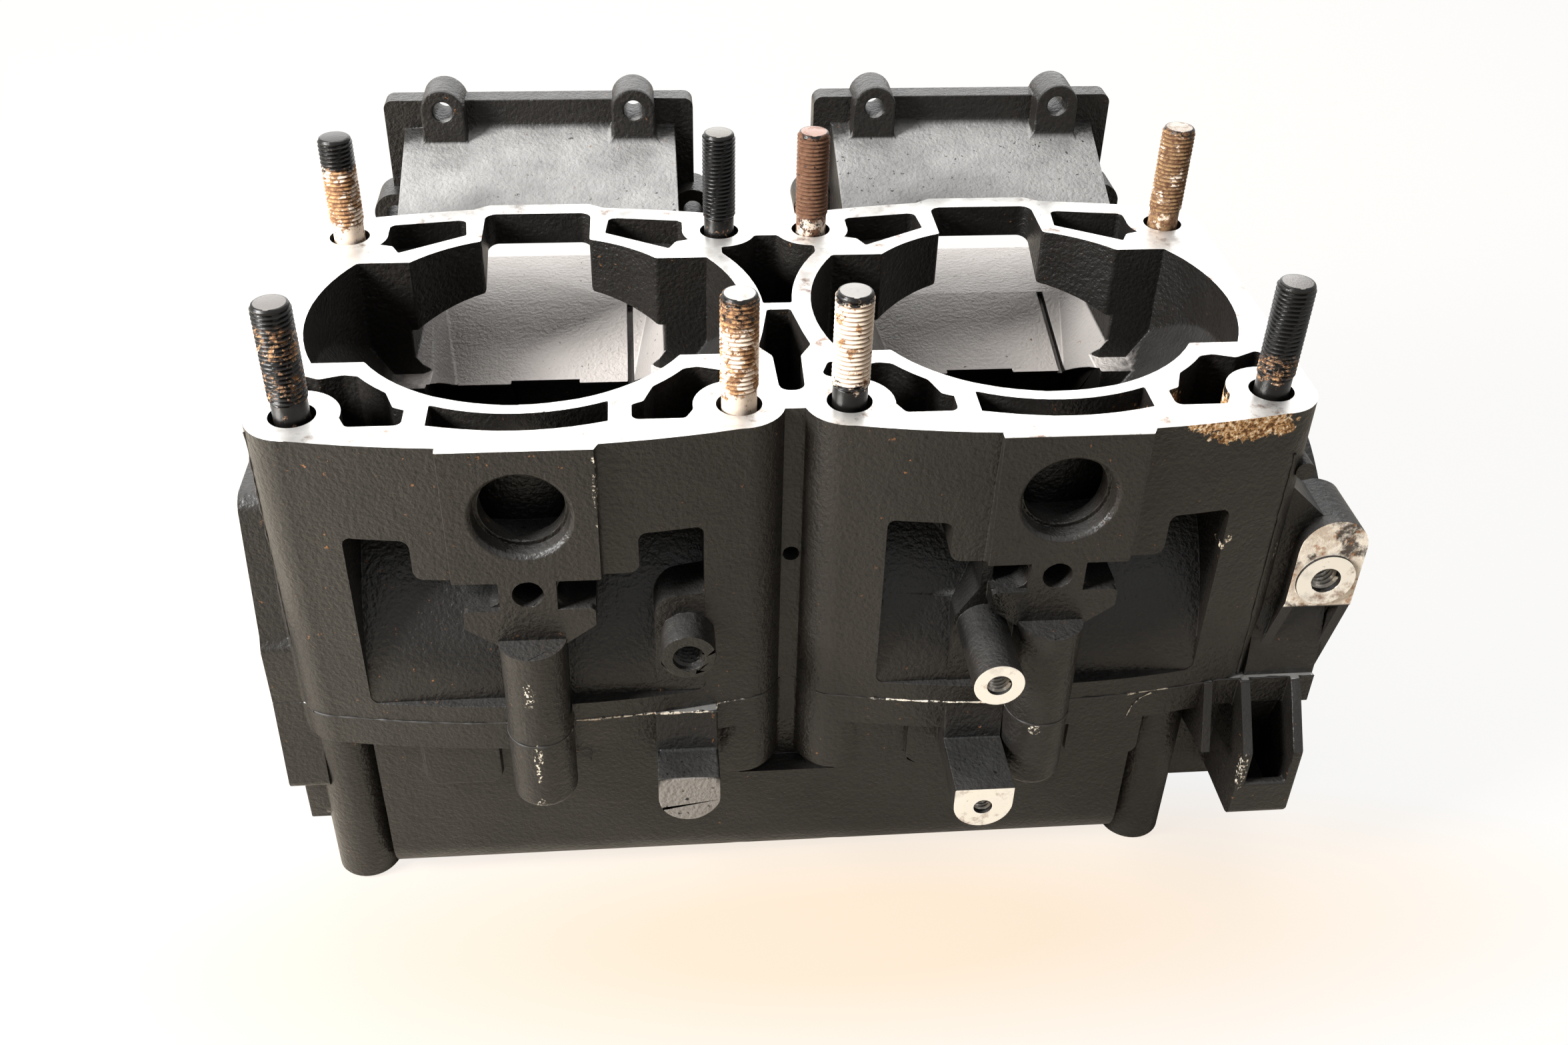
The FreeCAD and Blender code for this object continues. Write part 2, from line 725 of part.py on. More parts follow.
def panels():
    pieces = []
    for x in cells:
        for way in (-1, 1):
            for a, b in ((-panel_outer, -panel_inner), (panel_inner, panel_outer)):
                lo, hi = sorted((way * (belly_front - 4), way * (belly_front + panel_stand)))
                low = -panel_fall
                face = [(x + a, low, panel_corner), (x + b, low, panel_corner), (x + b, 0), (x + a, 0)]
                pieces.append(prism(face, "y", lo, hi))
    return pieces


def end_blocks():
    side = [(-end_front, 0), (-end_front, -end_fall, 6.0), (end_front, -end_fall, 6.0), (end_front, 0)]
    left = prism(side, "x", -case_half, -case_half + 30.0)
    right = prism(side, "x", belly_right_x - 5.0, bracket_outer_x)
    rim = block(belly_right_x, end_right_x, -ear_front - 2.4, plate_front, -rim_thick, 0)
    disc = magneto_flange(-rim_radius - 1, 0)
    wide = plate_front + 2.6
    hub = [(-plate_front, 0), (-wide, -plate_fall, 3.0), (wide, -plate_fall, 3.0), (plate_front, 0)]
    plate = prism(hub, "x", -case_half - plate_thick, -case_half + 4.0)
    foot = block(-case_half - foot_thick, -case_half + 6.0, -52.0, -38.0, -foot_fall, -plate_fall + 2.0)
    return [left, right, rim, disc, plate, foot]


def underside_cuts():
    cuts = []
    ring = rod_slot_radius + chamber_wall
    for x in cells:
        for way in (-1, 1):
            lo, hi = sorted((way * 16.0, way * (belly_front - skirt_wall)))
            for a, b in ((-chamber_half + 2, -skirt_rib / 2), (skirt_rib / 2, chamber_half - 2)):
                pocket = block(x + a, x + b, lo, hi, -belly_fall - 1, -20.0)
                cuts.append(pocket.cut(rod("x", ring, 0, 0, x - chamber_half, x + chamber_half)))
    room = half_pitch - chamber_half - 5
    reach = belly_front - skirt_wall - 14
    for a, b in ((-room, -skirt_rib / 2), (skirt_rib / 2, room)):
        pocket = block(a, b, -reach, reach, -belly_fall - 1, -20.0)
        cuts.append(pocket.cut(rod("x", bearing_radius + 9.0, 0, 0, -half_pitch, half_pitch)))
    return cuts


def joint_cuts_lower():
    cuts = []
    for x, y in column_spots():
        cuts.append(rod("z", case_bolt_radius + case_bolt_clear, x, y, -leg_fall, 1))
        cuts.append(rod("z", case_bolt_head + case_head_clear, x, y, -leg_fall - 1, -case_bolt_seat))
    cuts += [rod("z", dowel_radius + dowel_clear, x, y, -dowel_length / 2 - 0.3, 1) for x, y in dowel_spots()]
    return cuts


def make_lower():
    inner = half_pitch - stud_x
    solids = [case_slab(-rim_thick, 0), belly()] + panels() + end_blocks()
    for side in fronts:
        for x in cells:
            solids.append(footed_column(column_radius, foot_ease, x, side * column_y, -column_fall, 0))
        for x in (-inner, inner):
            solids.append(footed_column(boss_radius, foot_ease, x, side * stud_y, -valley_column_fall, 0))
        for x in (-leg_left_x, leg_right_x):
            solids.append(footed_column(leg_radius, leg_ease, x, side * leg_y, -leg_fall, 0))
    solids += lug(boss_right_x, lug_right_half, lug_right_y, lug_right_height)
    solids += lug(boss_left_x - 0.7, lug_left_half, lug_left_y, lug_left_height)
    solids += bracket()
    body = union(solids)
    cuts = underside_cuts() + joint_cuts_lower() + crank_cut()
    z = -lug_top - lug_right_height + lug_right_half - 0.8
    cuts.append(rod("y", lug_right_bore, boss_right_x, z, -lug_right_y - 1, -lug_right_y + 16.0))
    return body.cut(cuts).removeSplitter()


# ---- fasteners ----
def stud(x, y):
    top = deck_height + stud_stand
    neck = deck_height + stud_shank_stand
    shank = rod("z", stud_shank, x, y, deck(stud_engage), neck)
    thread = rod("z", stud_radius, x, y, neck, top - stud_chamfer)
    tip = cone("z", stud_radius, stud_radius - stud_chamfer, x, y, top - stud_chamfer, top)
    return union([shank, thread, tip])


def case_bolt(x, y):
    seat = -case_bolt_seat
    head = rod("z", case_bolt_head, x, y, seat - case_bolt_head_height, seat)
    corners = [math.radians(60 * i) for i in range(6)]
    hexagon = [(x + case_bolt_socket * math.cos(a), y + case_bolt_socket * math.sin(a)) for a in corners]
    socket = prism(hexagon, "z", seat - case_bolt_head_height - 1, seat - case_bolt_head_height + 4.4)
    shank = rod("z", case_bolt_radius, x, y, seat - 1, case_bolt_engage)
    return head.cut(socket).fuse(shank).removeSplitter()


def dowel(x, y):
    pin = rod("z", dowel_radius, x, y, -dowel_length / 2, dowel_length / 2)
    rims = [e for e in pin.Edges if len(e.Vertexes) == 1]
    return pin.makeChamfer(0.6, rims)


nodes = {
    "upper_case": make_upper(),
    "lower_case": make_lower(),
    "cylinder_studs": Part.makeCompound([stud(x, y) for x, y in stud_spots()]),
    "case_bolts": Part.makeCompound([case_bolt(x, y) for x, y in column_spots()]),
    "locating_dowels": Part.makeCompound([dowel(x, y) for x, y in dowel_spots()]),
}

os.makedirs("parts", exist_ok=True)
for name, shape in nodes.items():
    box = shape.BoundBox
    print(name, len(shape.Solids), round(shape.Volume), shape.isValid(),
          [round(v, 1) for v in (box.XMin, box.XMax, box.YMin, box.YMax, box.ZMin, box.ZMax)])
    shape.exportStep("parts/" + name + ".step")
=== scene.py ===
import json
import math

import bmesh
import bpy
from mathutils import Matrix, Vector, noise
from mathutils.bvhtree import BVHTree
from mathutils.kdtree import KDTree


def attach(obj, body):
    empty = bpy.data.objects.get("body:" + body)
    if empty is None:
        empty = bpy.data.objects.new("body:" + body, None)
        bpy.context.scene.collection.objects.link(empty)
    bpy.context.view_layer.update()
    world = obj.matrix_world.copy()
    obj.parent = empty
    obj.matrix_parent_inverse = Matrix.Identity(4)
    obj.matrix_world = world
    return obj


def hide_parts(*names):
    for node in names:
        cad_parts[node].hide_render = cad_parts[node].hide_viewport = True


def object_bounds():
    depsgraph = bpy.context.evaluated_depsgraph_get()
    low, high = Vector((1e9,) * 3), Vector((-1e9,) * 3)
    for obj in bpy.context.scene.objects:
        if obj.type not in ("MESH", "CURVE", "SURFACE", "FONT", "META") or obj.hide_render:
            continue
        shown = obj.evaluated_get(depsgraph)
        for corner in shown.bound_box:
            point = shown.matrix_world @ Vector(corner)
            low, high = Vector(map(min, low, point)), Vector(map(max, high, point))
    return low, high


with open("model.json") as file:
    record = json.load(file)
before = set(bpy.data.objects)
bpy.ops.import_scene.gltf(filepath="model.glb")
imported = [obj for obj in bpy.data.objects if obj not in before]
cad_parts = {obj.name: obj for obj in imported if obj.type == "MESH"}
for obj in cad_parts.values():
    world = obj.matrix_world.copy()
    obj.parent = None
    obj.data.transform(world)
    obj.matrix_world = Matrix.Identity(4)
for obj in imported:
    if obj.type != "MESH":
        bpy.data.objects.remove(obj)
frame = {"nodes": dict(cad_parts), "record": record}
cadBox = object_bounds()
mounts = {entry["name"]: entry for entry in frame["record"]["mounts"]}

mm = 0.001
places = {name: Vector(entry["pos_m"]) / mm for name, entry in mounts.items()}
deckZ = places["deck_face"].z           # deck above the crank axis, mm
pitchHalf = places["cylinder_studs_right"].x
footZ = cadBox[0][2] / mm
print("frame loaded:", sorted(frame["nodes"]))


def linear(hexColour):
    parts = [int(hexColour[i:i + 2], 16) / 255 for i in (1, 3, 5)]
    return [c / 12.92 if c <= 0.04045 else ((c + 0.055) / 1.055) ** 2.4 for c in parts] + [1.0]


def addNode(tree, kind, settings=None, links=None):
    # a setting names a property of the node, or else one of its inputs; hex text is a colour
    node = tree.nodes.new("ShaderNode" + kind)
    for key, value in (settings or {}).items():
        if isinstance(key, str) and hasattr(node, key):
            setattr(node, key, value)
        else:
            node.inputs[key].default_value = linear(value) if isinstance(value, str) else value
    for key, source in (links or {}).items():
        tree.links.new(source, node.inputs[key])
    return node


def pick(*pieces):
    if bpy.context.mode != "OBJECT":
        bpy.ops.object.mode_set(mode="OBJECT")
    bpy.ops.object.select_all(action="DESELECT")
    for piece in pieces:
        piece.select_set(True)
    bpy.context.view_layer.objects.active = pieces[0]


def finishPiece(piece, material, smoothAngle=None):
    pick(piece)
    bpy.ops.object.transform_apply(location=True, rotation=True, scale=True)
    piece.data.materials.clear()
    piece.data.materials.append(material)
    if smoothAngle:
        bpy.ops.object.shade_smooth_by_angle(angle=math.radians(smoothAngle))
    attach(piece, "root")


def startMaterial(name, look):
    # the noises and masks that a look lists, on the piece's own millimetres
    material = bpy.data.materials.new(name)
    material.use_nodes = True
    tree = material.node_tree
    point = addNode(tree, "TexCoord").outputs["Object"]
    values = {"point": point}
    for key, (sizeMm, detail, rough) in look["grains"].items():
        grain = {"Scale": 1 / (sizeMm * mm), "Detail": detail, "Roughness": rough}
        values[key] = addNode(tree, "TexNoise", grain, {"Vector": point}).outputs["Fac"]
    for key, (source, low, high, outLow, outHigh) in look["masks"].items():
        values[key] = addNode(tree, "MapRange", {"From Min": low, "From Max": high, "To Min": outLow,
                                                 "To Max": outHigh}, {"Value": values[source]}).outputs[0]
    return material, tree, tree.nodes["Principled BSDF"], values


def raggedPatch(tree, values, centre, size, grain="ragged", rag=0.9):
    # 1 inside a lump of space with a torn edge, 0 outside; centre and half sizes in mm
    offset = addNode(tree, "VectorMath", {"operation": "SUBTRACT", 1: [c * mm for c in centre]},
                     {0: values["point"]})
    scaled = addNode(tree, "VectorMath", {"operation": "DIVIDE", 1: [s * mm for s in size]},
                     {0: offset.outputs[0]})
    away = addNode(tree, "VectorMath", {"operation": "LENGTH"}, {0: scaled.outputs[0]}).outputs["Value"]
    torn = addNode(tree, "MapRange", {"From Min": 0.3, "From Max": 0.7, "To Min": -rag / 2, "To Max": rag / 2,
                                      "clamp": False}, {"Value": values[grain]}).outputs[0]
    edge = addNode(tree, "Math", {"operation": "ADD"}, {0: away, 1: torn}).outputs[0]
    return addNode(tree, "MapRange", {"From Min": 0.85, "From Max": 1.0, "To Min": 1.0, "To Max": 0.0},
                   {"Value": edge}).outputs[0]


def patchUnion(tree, values, lumps, rag):
    patches = [raggedPatch(tree, values, centre, size, rag=rag) for centre, size in lumps]
    return chained(tree, "MAXIMUM", *patches)


def layColours(tree, shader, base, layers):
    # each layer is painted over the ones before it by its mask; 6 and 7 are the two colours of a Mix node
    settings, links = {"data_type": "RGBA", 6: base}, {}
    for mask, hexColour in layers:
        node = addNode(tree, "Mix", {**settings, 7: hexColour}, {0: mask, **links})
        settings, links = {"data_type": "RGBA"}, {6: node.outputs[2]}
    tree.links.new(node.outputs[2], shader.inputs["Base Color"])


def layBumps(tree, shader, values, bumps):
    # coarse first: each is a value, its height in mm and its strength
    links = {}
    for source, heightMm, strength in bumps:
        node = addNode(tree, "Bump", {"Distance": heightMm * mm, "Strength": strength},
                       {"Height": values[source], **links})
        links = {"Normal": node.outputs[0]}
    tree.links.new(node.outputs[0], shader.inputs["Normal"])


def chained(tree, operation, *masks):
    # several masks made one: MULTIPLY keeps what they share, MAXIMUM all they cover
    result = masks[0]
    for mask in masks[1:]:
        result = addNode(tree, "Math", {"operation": operation}, {0: result, 1: mask}).outputs[0]
    return result


# cast aluminium under a thin baked black coat: satin and pebbled, so it shows broad soft highlights,
# a grey film where dust settles, pale chips on proud edges and brown flecks of rust; painted over it are
# shade in the pebble dimples, wells and window backs, a sheen on the dust of the reed roofs and light on the
# intake floors
coat = {
    "black": "#161412", "worn": "#1F1C19", "dustAndSheenGrey": "#959492", "bareAndLitGrey": "#DCD4CE", "chip": "#D9CFBF",
    "fleck": "#6E4A2C", "lugFaceGrey": "#77736F", "pitAndShadeBlack": "#0B0A09", "crust": "#C09463", "crustPale": "#EBDCC4",
    "crustDark": "#5A3A20", "ior": 1.36, "wetRough": 0.16, "crustRough": 0.9, "thinDust": 0.1,
    # the up-facing mask also lays the painted sheen on the reed roofs and the painted light on the intake
    # floors
    "levelFrom": 0.3, "levelTo": 0.9,       # dust starts and is full at these heights of the normal
    "grains": {"cloud": (46.0, 4.0, 0.55), "film": (13.0, 6.0, 0.66), "pebble": (1.25, 2.5, 0.55),
               "lump": (6.5, 2.0, 0.5), "speck": (1.9, 3.0, 0.6), "field": (34.0, 2.0, 0.5),
               "ragged": (3.2, 5.0, 0.7), "crustGrain": (1.1, 4.0, 0.7)},
    "masks": {"cloudy": ("cloud", 0.36, 0.68, 0.0, 1.0), "filmy": ("film", 0.3, 0.7, 0.55, 1.0),
              "chips": ("speck", 0.69, 0.72, 0.0, 1.0), "pits": ("speck", 0.34, 0.32, 0.0, 1.0),
              "busy": ("field", 0.46, 0.6, 0.0, 1.0), "calm": ("field", 0.54, 0.42, 0.0, 1.0),
              "crustLight": ("crustGrain", 0.53, 0.6, 0.0, 1.0),
              "crustDeep": ("crustGrain", 0.5, 0.42, 0.0, 1.0),
              # painted shade: the pit black laid at half strength into the low points of the pebble
              "dimpleShade": ("pebble", 0.42, 0.35, 0.0, 0.5),
              "sheenBreak": ("film", 0.3, 0.75, 0.36, 0.52)},
}
# patches of the coat: centre and half size in mm
coatPatches = {
    "wallCrust": [((117.0, -63.0, 89.5), (12.0, 12.0, 4.8)), ((112.5, -64.0, 90.6), (15.0, 12.0, 2.0)),
                  ((107.0, -49.0, 83.0), (13.0, 9.0, 9.0))],
    "flecks": [((117.4, -63.0, 53.5), (1.0, 5.0, 2.0)), ((116.2, -63.0, 50.5), (0.7, 5.0, 1.1)),
               ((134.0, -56.0, 44.0), (1.0, 5.0, 3.0)), ((54.0, -66.0, 15.0), (2.0, 4.0, 1.2))],
    "wear": [((-71.5, -78.2, 18.0), (1.7, 2.5, 4.6)), ((-70.6, -78.4, -6.5), (1.2, 2.2, 7.5)),
             ((-71.0, -77.6, -23.5), (1.6, 2.6, 3.2)), ((-51.0, -69.6, 80.0), (0.8, 1.6, 11.0)),
             ((68.0, -77.6, -2.0), (1.6, 2.4, 2.0)), ((132.5, -77.0, -24.0), (1.6, 2.2, 6.5)),
             ((-68.0, -79.0, 4.0), (0.8, 1.5, 3.0))],
    "oil": [((-pitchHalf, -62.0, 69.0), (13.5, 9.0, 12.0)), ((pitchHalf, -62.0, 69.0), (13.5, 9.0, 12.0)),
            ((-28.8, -70.0, 44.0), (9.0, 10.0, 6.0)), ((-28.8, -66.0, 27.0), (4.5, 10.0, 4.5)),
            ((-pitchHalf, -60.0, 46.0), (17.0, 9.0, 5.0)), ((pitchHalf, -60.0, 46.0), (17.0, 9.0, 5.0)),
            ((52.3, -70.0, 36.0), (9.0, 8.0, 8.0)), ((-28.8, -74.0, -14.0), (9.0, 9.0, 4.0))],
    # intake floors: a pale grey that is partly bare aluminium and partly painted light from above and behind
    "intake": [((-pitchHalf, 74.0, 52.0), (62.0, 74.0, 22.0)), ((pitchHalf, 74.0, 52.0), (62.0, 74.0, 22.0))],
    # reed roofs: dust, with a painted sheen of the bright surroundings over it
    "roof": [((-pitchHalf, 76.0, 100.0), (66.0, 32.0, 24.0)), ((pitchHalf, 76.0, 100.0), (66.0, 32.0, 24.0))],
    # painted shade: the cylinder wells, the window backs and the tube behind the right window are darkened to
    # the pit black; on the two lug shelves the same black stands for oil
    "paintedShadeAndOil": [((-pitchHalf, 0.0, 20.0), (58.0, 60.0, 68.0)), ((pitchHalf, 0.0, 20.0), (58.0, 60.0, 68.0)),
             ((-pitchHalf, -52.0, 70.0), (13.0, 15.0, 16.0)), ((pitchHalf, -52.0, 70.0), (13.0, 15.0, 16.0)),
             ((-pitchHalf, -49.0, 28.0), (62.0, 18.0, 44.0)), ((pitchHalf, -49.0, 28.0), (62.0, 18.0, 44.0)),
             ((52.3, -67.0, 34.0), (13.0, 14.0, 15.0)),
             ((-29.5, -71.0, -10.5), (10.5, 9.5, 3.6)), ((52.3, -75.0, -10.5), (10.5, 14.0, 3.6))],
    # the front face of the left lug, painted a lighter grey than the coat around it
    "lugFace": [((-29.5, -81.4, -20.0), (12.5, 1.2, 12.5))],
}
# how torn the edge of a patch is, where it is less than fully torn
patchRag = {"intake": 0.1, "roof": 0.1, "paintedShadeAndOil": 0.1, "lugFace": 0.1, "oil": 0.35}


def makeCoatedCasting():
    material, tree, shader, values = startMaterial("blackCoatedCastAluminium", coat)
    masks = {key: patchUnion(tree, values, lumps, patchRag.get(key, 1.0))
             for key, lumps in coatPatches.items()}
    facing = addNode(tree, "NewGeometry").outputs["Normal"]
    up = addNode(tree, "SeparateXYZ", {}, {0: facing}).outputs["Z"]
    level = addNode(tree, "MapRange", {"From Min": coat["levelFrom"], "From Max": coat["levelTo"]},
                    {"Value": up}).outputs[0]
    thinDust = addNode(tree, "Math", {"operation": "MULTIPLY", 1: coat["thinDust"]},
                       {0: values["filmy"]}).outputs[0]
    thickDustAndSheen = chained(tree, "MULTIPLY", masks["roof"], values["filmy"])
    layColours(tree, shader, coat["black"], [
        (values["cloudy"], coat["worn"]),
        # painted shade: the low points of the pebble darkened
        (values["dimpleShade"], coat["pitAndShadeBlack"]),
        # painted shade in the wells and window backs, oil on the lug shelves
        (masks["paintedShadeAndOil"], coat["pitAndShadeBlack"]),
        # the left lug's front face painted a lighter grey
        (masks["lugFace"], coat["lugFaceGrey"]),
        (chained(tree, "MULTIPLY", level, thinDust), coat["dustAndSheenGrey"]),
        # dust with a painted sheen on the reed roofs
        (chained(tree, "MULTIPLY", level, thickDustAndSheen), coat["dustAndSheenGrey"]),
        # pale grey on the up-facing intake floors: bare aluminium and painted light
        (chained(tree, "MULTIPLY", level, masks["intake"]), coat["bareAndLitGrey"]),
        (chained(tree, "MULTIPLY", values["pits"], values["busy"]), coat["pitAndShadeBlack"]),
        (chained(tree, "MULTIPLY", values["chips"], values["calm"]), coat["fleck"]),
        (chained(tree, "MULTIPLY", masks["wear"], values["crustLight"]), coat["chip"]),
        (chained(tree, "MULTIPLY", masks["flecks"], values["crustLight"]), coat["crustPale"]),
        (masks["wallCrust"], coat["crust"]),
        (chained(tree, "MULTIPLY", masks["wallCrust"], values["crustLight"]), coat["crustPale"]),
        (chained(tree, "MULTIPLY", masks["wallCrust"], values["crustDeep"]), coat["crustDark"]),
    ])
    dry = addNode(tree, "Mix", {"data_type": "FLOAT", 3: coat["crustRough"]},
                  {0: masks["wallCrust"], 2: values["sheenBreak"]})
    oily = chained(tree, "MULTIPLY", masks["oil"], values["busy"])
    wet = addNode(tree, "Mix", {"data_type": "FLOAT", 3: coat["wetRough"]}, {0: oily, 2: dry.outputs[0]})
    tree.links.new(wet.outputs[0], shader.inputs["Roughness"])
    shader.inputs["IOR"].default_value = coat["ior"]
    layBumps(tree, shader, values, [("lump", 0.45, 0.5), ("pebble", 0.42, 1.0), ("speck", 0.12, 0.5)])
    return material


# aluminium milled flat: bright and almost white, faint cutter lines, grey and brown stains, dark nicks
milled = {
    "metal": "#EAE8E4", "grey": "#8F8982", "stain": "#7E5E4B", "nick": "#3A332D", "metallic": 0.8,
    "cutterMm": 1.2, "cutterWaver": 1.4,
    "grains": {"stainGrain": (15.0, 6.0, 0.64), "brownGrain": (8.0, 7.0, 0.72), "nickGrain": (1.5, 3.0, 0.55),
               "field": (26.0, 2.0, 0.5), "fine": (0.7, 2.0, 0.6)},
    "masks": {"greyed": ("stainGrain", 0.52, 0.7, 0.0, 0.75), "brown": ("brownGrain", 0.56, 0.68, 0.0, 0.85),
              "nicks": ("nickGrain", 0.70, 0.73, 0.0, 1.0), "nicked": ("field", 0.48, 0.6, 0.0, 1.0),
              "dull": ("stainGrain", 0.4, 0.74, 0.32, 0.6)},
}


def makeMilled():
    material, tree, shader, values = startMaterial("milledAluminium", milled)
    layColours(tree, shader, milled["metal"], [
        (values["greyed"], milled["grey"]),
        (values["brown"], milled["stain"]),
        (chained(tree, "MULTIPLY", values["nicks"], values["nicked"]), milled["nick"]),
    ])
    shader.inputs["Metallic"].default_value = milled["metallic"]
    tree.links.new(values["dull"], shader.inputs["Roughness"])
    lines = {"Scale": 1 / (3 * milled["cutterMm"] * mm), "Distortion": milled["cutterWaver"], "Detail": 2.0}
    values["cutter"] = addNode(tree, "TexWave", lines, {"Vector": values["point"]}).outputs["Fac"]
    layBumps(tree, shader, values, [("cutter", 0.008, 0.3), ("nickGrain", 0.04, 0.35), ("fine", 0.01, 0.3)])
    return material


# bare aluminium eaten by salt water: chalky white and pinkish grey blooms, brown rims, rough all over
salted = {
    "bloom": "#C9B9A8", "white": "#F0E7DA", "brown": "#A06A38", "dark": "#37302B", "rough": 0.85,
    "grains": {"ragged": (3.4, 6.0, 0.72), "bloomGrain": (6.0, 6.0, 0.7), "darkGrain": (9.0, 5.0, 0.65),
               "crumb": (0.9, 4.0, 0.7)},
    "masks": {"whitened": ("bloomGrain", 0.45, 0.58, 0.0, 1.0), "browned": ("ragged", 0.56, 0.68, 0.0, 0.9),
              "darkened": ("darkGrain", 0.50, 0.54, 0.0, 0.95)},
}


def makeSalted():
    material, tree, shader, values = startMaterial("saltCorrodedAluminium", salted)
    ear = places["ear_hole"]
    square = raggedPatch(tree, values, (ear.x, ear.y - 10, ear.z - 1.0), (13.0, 14.0, 9.5), rag=0.25)
    height = addNode(tree, "SeparateXYZ", {}, {0: values["point"]}).outputs["Z"]
    coated = addNode(tree, "MapRange", {"From Min": (ear.z - 9.3) * mm, "From Max": (ear.z - 9.8) * mm},
                     {"Value": height}).outputs[0]       # the legs under the ear kept their coat
    layColours(tree, shader, salted["bloom"], [
        (values["darkened"], salted["dark"]),
        (square, salted["bloom"]),
        (values["whitened"], salted["white"]),
        (values["browned"], salted["brown"]),
        (coated, coat["worn"]),
    ])
    shader.inputs["Roughness"].default_value = salted["rough"]
    layBumps(tree, shader, values, [("bloomGrain", 0.3, 0.6), ("crumb", 0.2, 0.9)])
    return material


coatedCasting = makeCoatedCasting()
milledFace = makeMilled()
saltedFace = makeSalted()
print("casting finishes made")


# edge widths in mm; each edge keeps the largest one that fits its corner
casting = {"edge": 0.9, "flangeEdge": 2.0, "milledEdge": 0.2, "seamEdge": 0.3, "sharp": 22.0, "segments": 2,
           "turns": 9, "easing": 0.45, "straight": 0.99, "onPlane": 0.05, "onSeam": 0.02, "flangeFrom": 96.5}
# where the ear and the front bosses are cut flat, in mm
earPad = {"reach": 10, "low": 20, "high": 58, "milledFrom": -60.5, "saltedFrom": -59.9}
bossPad = {"reach": 12, "rise": 14, "from": -89}
# how far a rounding may stray, in its own widths, and how far it may stand proud, in mm
spoilLimits = {"sampleStep": 0.4, "stray": 2.3, "near": 1.4, "search": 0.65, "proud": 0.9,
               "backward": -0.3, "folded": 0.2}


def faceFinish(nodeName, centre, normal):
    # 0 is the coat, 1 is milled, 2 is salt-eaten
    x, y, z = centre
    straight, touch = casting["straight"], casting["onPlane"]
    front, ear = -normal.y > straight, places["ear_hole"]
    if nodeName == "upper_case":
        if normal.z > straight and abs(z - deckZ) < touch:
            return 1
        if normal.y > straight and y > places["reed_face_left"].y - touch:
            return 1
        onPad = abs(x - ear.x) < earPad["reach"] and earPad["low"] < z < earPad["high"]
        if front and onPad and y < earPad["saltedFrom"]:
            return 1 if y < earPad["milledFrom"] else 2
    for name in ("front_boss_right", "lug_hole"):
        across, upward = abs(x - places[name].x), abs(z - places[name].z)
        if front and across < bossPad["reach"] and upward < bossPad["rise"] and y < bossPad["from"]:
            return 1
    atEnd = x < cadBox[0][0] / mm + touch or abs(x - places["magneto_face"].x) < touch
    if abs(normal.x) > straight and atEnd:
        return 1
    return 1 if abs(normal.z) > straight and abs(z) < casting["onSeam"] else 0


def edgeWidth(edge):
    if len(edge.link_faces) != 2 or edge.calc_face_angle(0) < math.radians(casting["sharp"]):
        return 0.0
    middle = (edge.verts[0].co + edge.verts[1].co) / 2 / mm
    if any(face.material_index == 1 for face in edge.link_faces):
        return casting["seamEdge" if abs(middle.z) < casting["onSeam"] else "milledEdge"]
    return casting["flangeEdge" if middle.y > casting["flangeFrom"] else "edge"]


def bevelledCopy(base, widths):
    mesh = base.copy()
    layer = mesh.attributes.new("bevel_weight_edge", "FLOAT", "EDGE")
    layer.data.foreach_set("value", [width / casting["flangeEdge"] for width in widths])
    trial = bpy.data.objects.new("trial", mesh)
    bpy.context.scene.collection.objects.link(trial)
    pick(trial)
    bevel = trial.modifiers.new("bevel", "BEVEL")
    bevel.limit_method = "WEIGHT"
    bevel.width = casting["flangeEdge"] * mm
    bevel.segments = casting["segments"]
    bevel.use_clamp_overlap = False
    bpy.ops.object.modifier_apply(modifier=bevel.name)
    return trial


def spoiltEdges(trial, base, surface, widths):
    # edges whose rounding slid off, stood proud of the casting or folded over
    samples = []
    for edge, width in zip(base.edges, widths):
        if width > 0:
            a, b = (base.vertices[i].co for i in edge.vertices)
            steps = max(1, int((b - a).length / (spoilLimits["sampleStep"] * mm)))
            samples += [(a.lerp(b, k / steps), edge.index, width * mm) for k in range(steps + 1)]
    near = KDTree(len(samples))
    for index, sample in enumerate(samples):
        near.insert(sample[0], index)
    near.balance()
    old = KDTree(len(base.vertices))
    for vertex in base.vertices:
        old.insert(vertex.co, vertex.index)
    old.balance()
    mesh = trial.data
    limit, reach = spoilLimits["stray"], spoilLimits["stray"] * casting["flangeEdge"] * mm
    stray = set()
    for vertex in mesh.vertices:
        point, index, away = near.find(vertex.co)
        if away > limit * samples[index][2] and old.find(vertex.co)[2] > 1e-6:
            if all(gap > limit * samples[k][2] for point, k, gap in near.find_range(vertex.co, reach)):
                stray.add(vertex.index)
    spoilt = set(stray)
    for edge in mesh.edges:
        if stray.intersection(edge.vertices):
            spoilt.update(edge.vertices)
    mesh.calc_loop_triangles()
    for triangle in mesh.loop_triangles:
        if triangle.area > 1e-9:
            point, normal, index, away = surface.find_nearest(Vector(triangle.center))
            flat = mesh.polygons[triangle.polygon_index].normal
            folded = triangle.normal.dot(flat) < spoilLimits["folded"]
            backward = triangle.normal.dot(normal) < spoilLimits["backward"]
            if folded or backward or away > spoilLimits["proud"] * mm:
                spoilt.update(triangle.vertices)
    guilty = set()
    for index in spoilt:
        for point, k, away in near.find_range(mesh.vertices[index].co, spoilLimits["search"] * reach):
            if away < spoilLimits["near"] * samples[k][2]:
                guilty.add(samples[k][1])
    return guilty


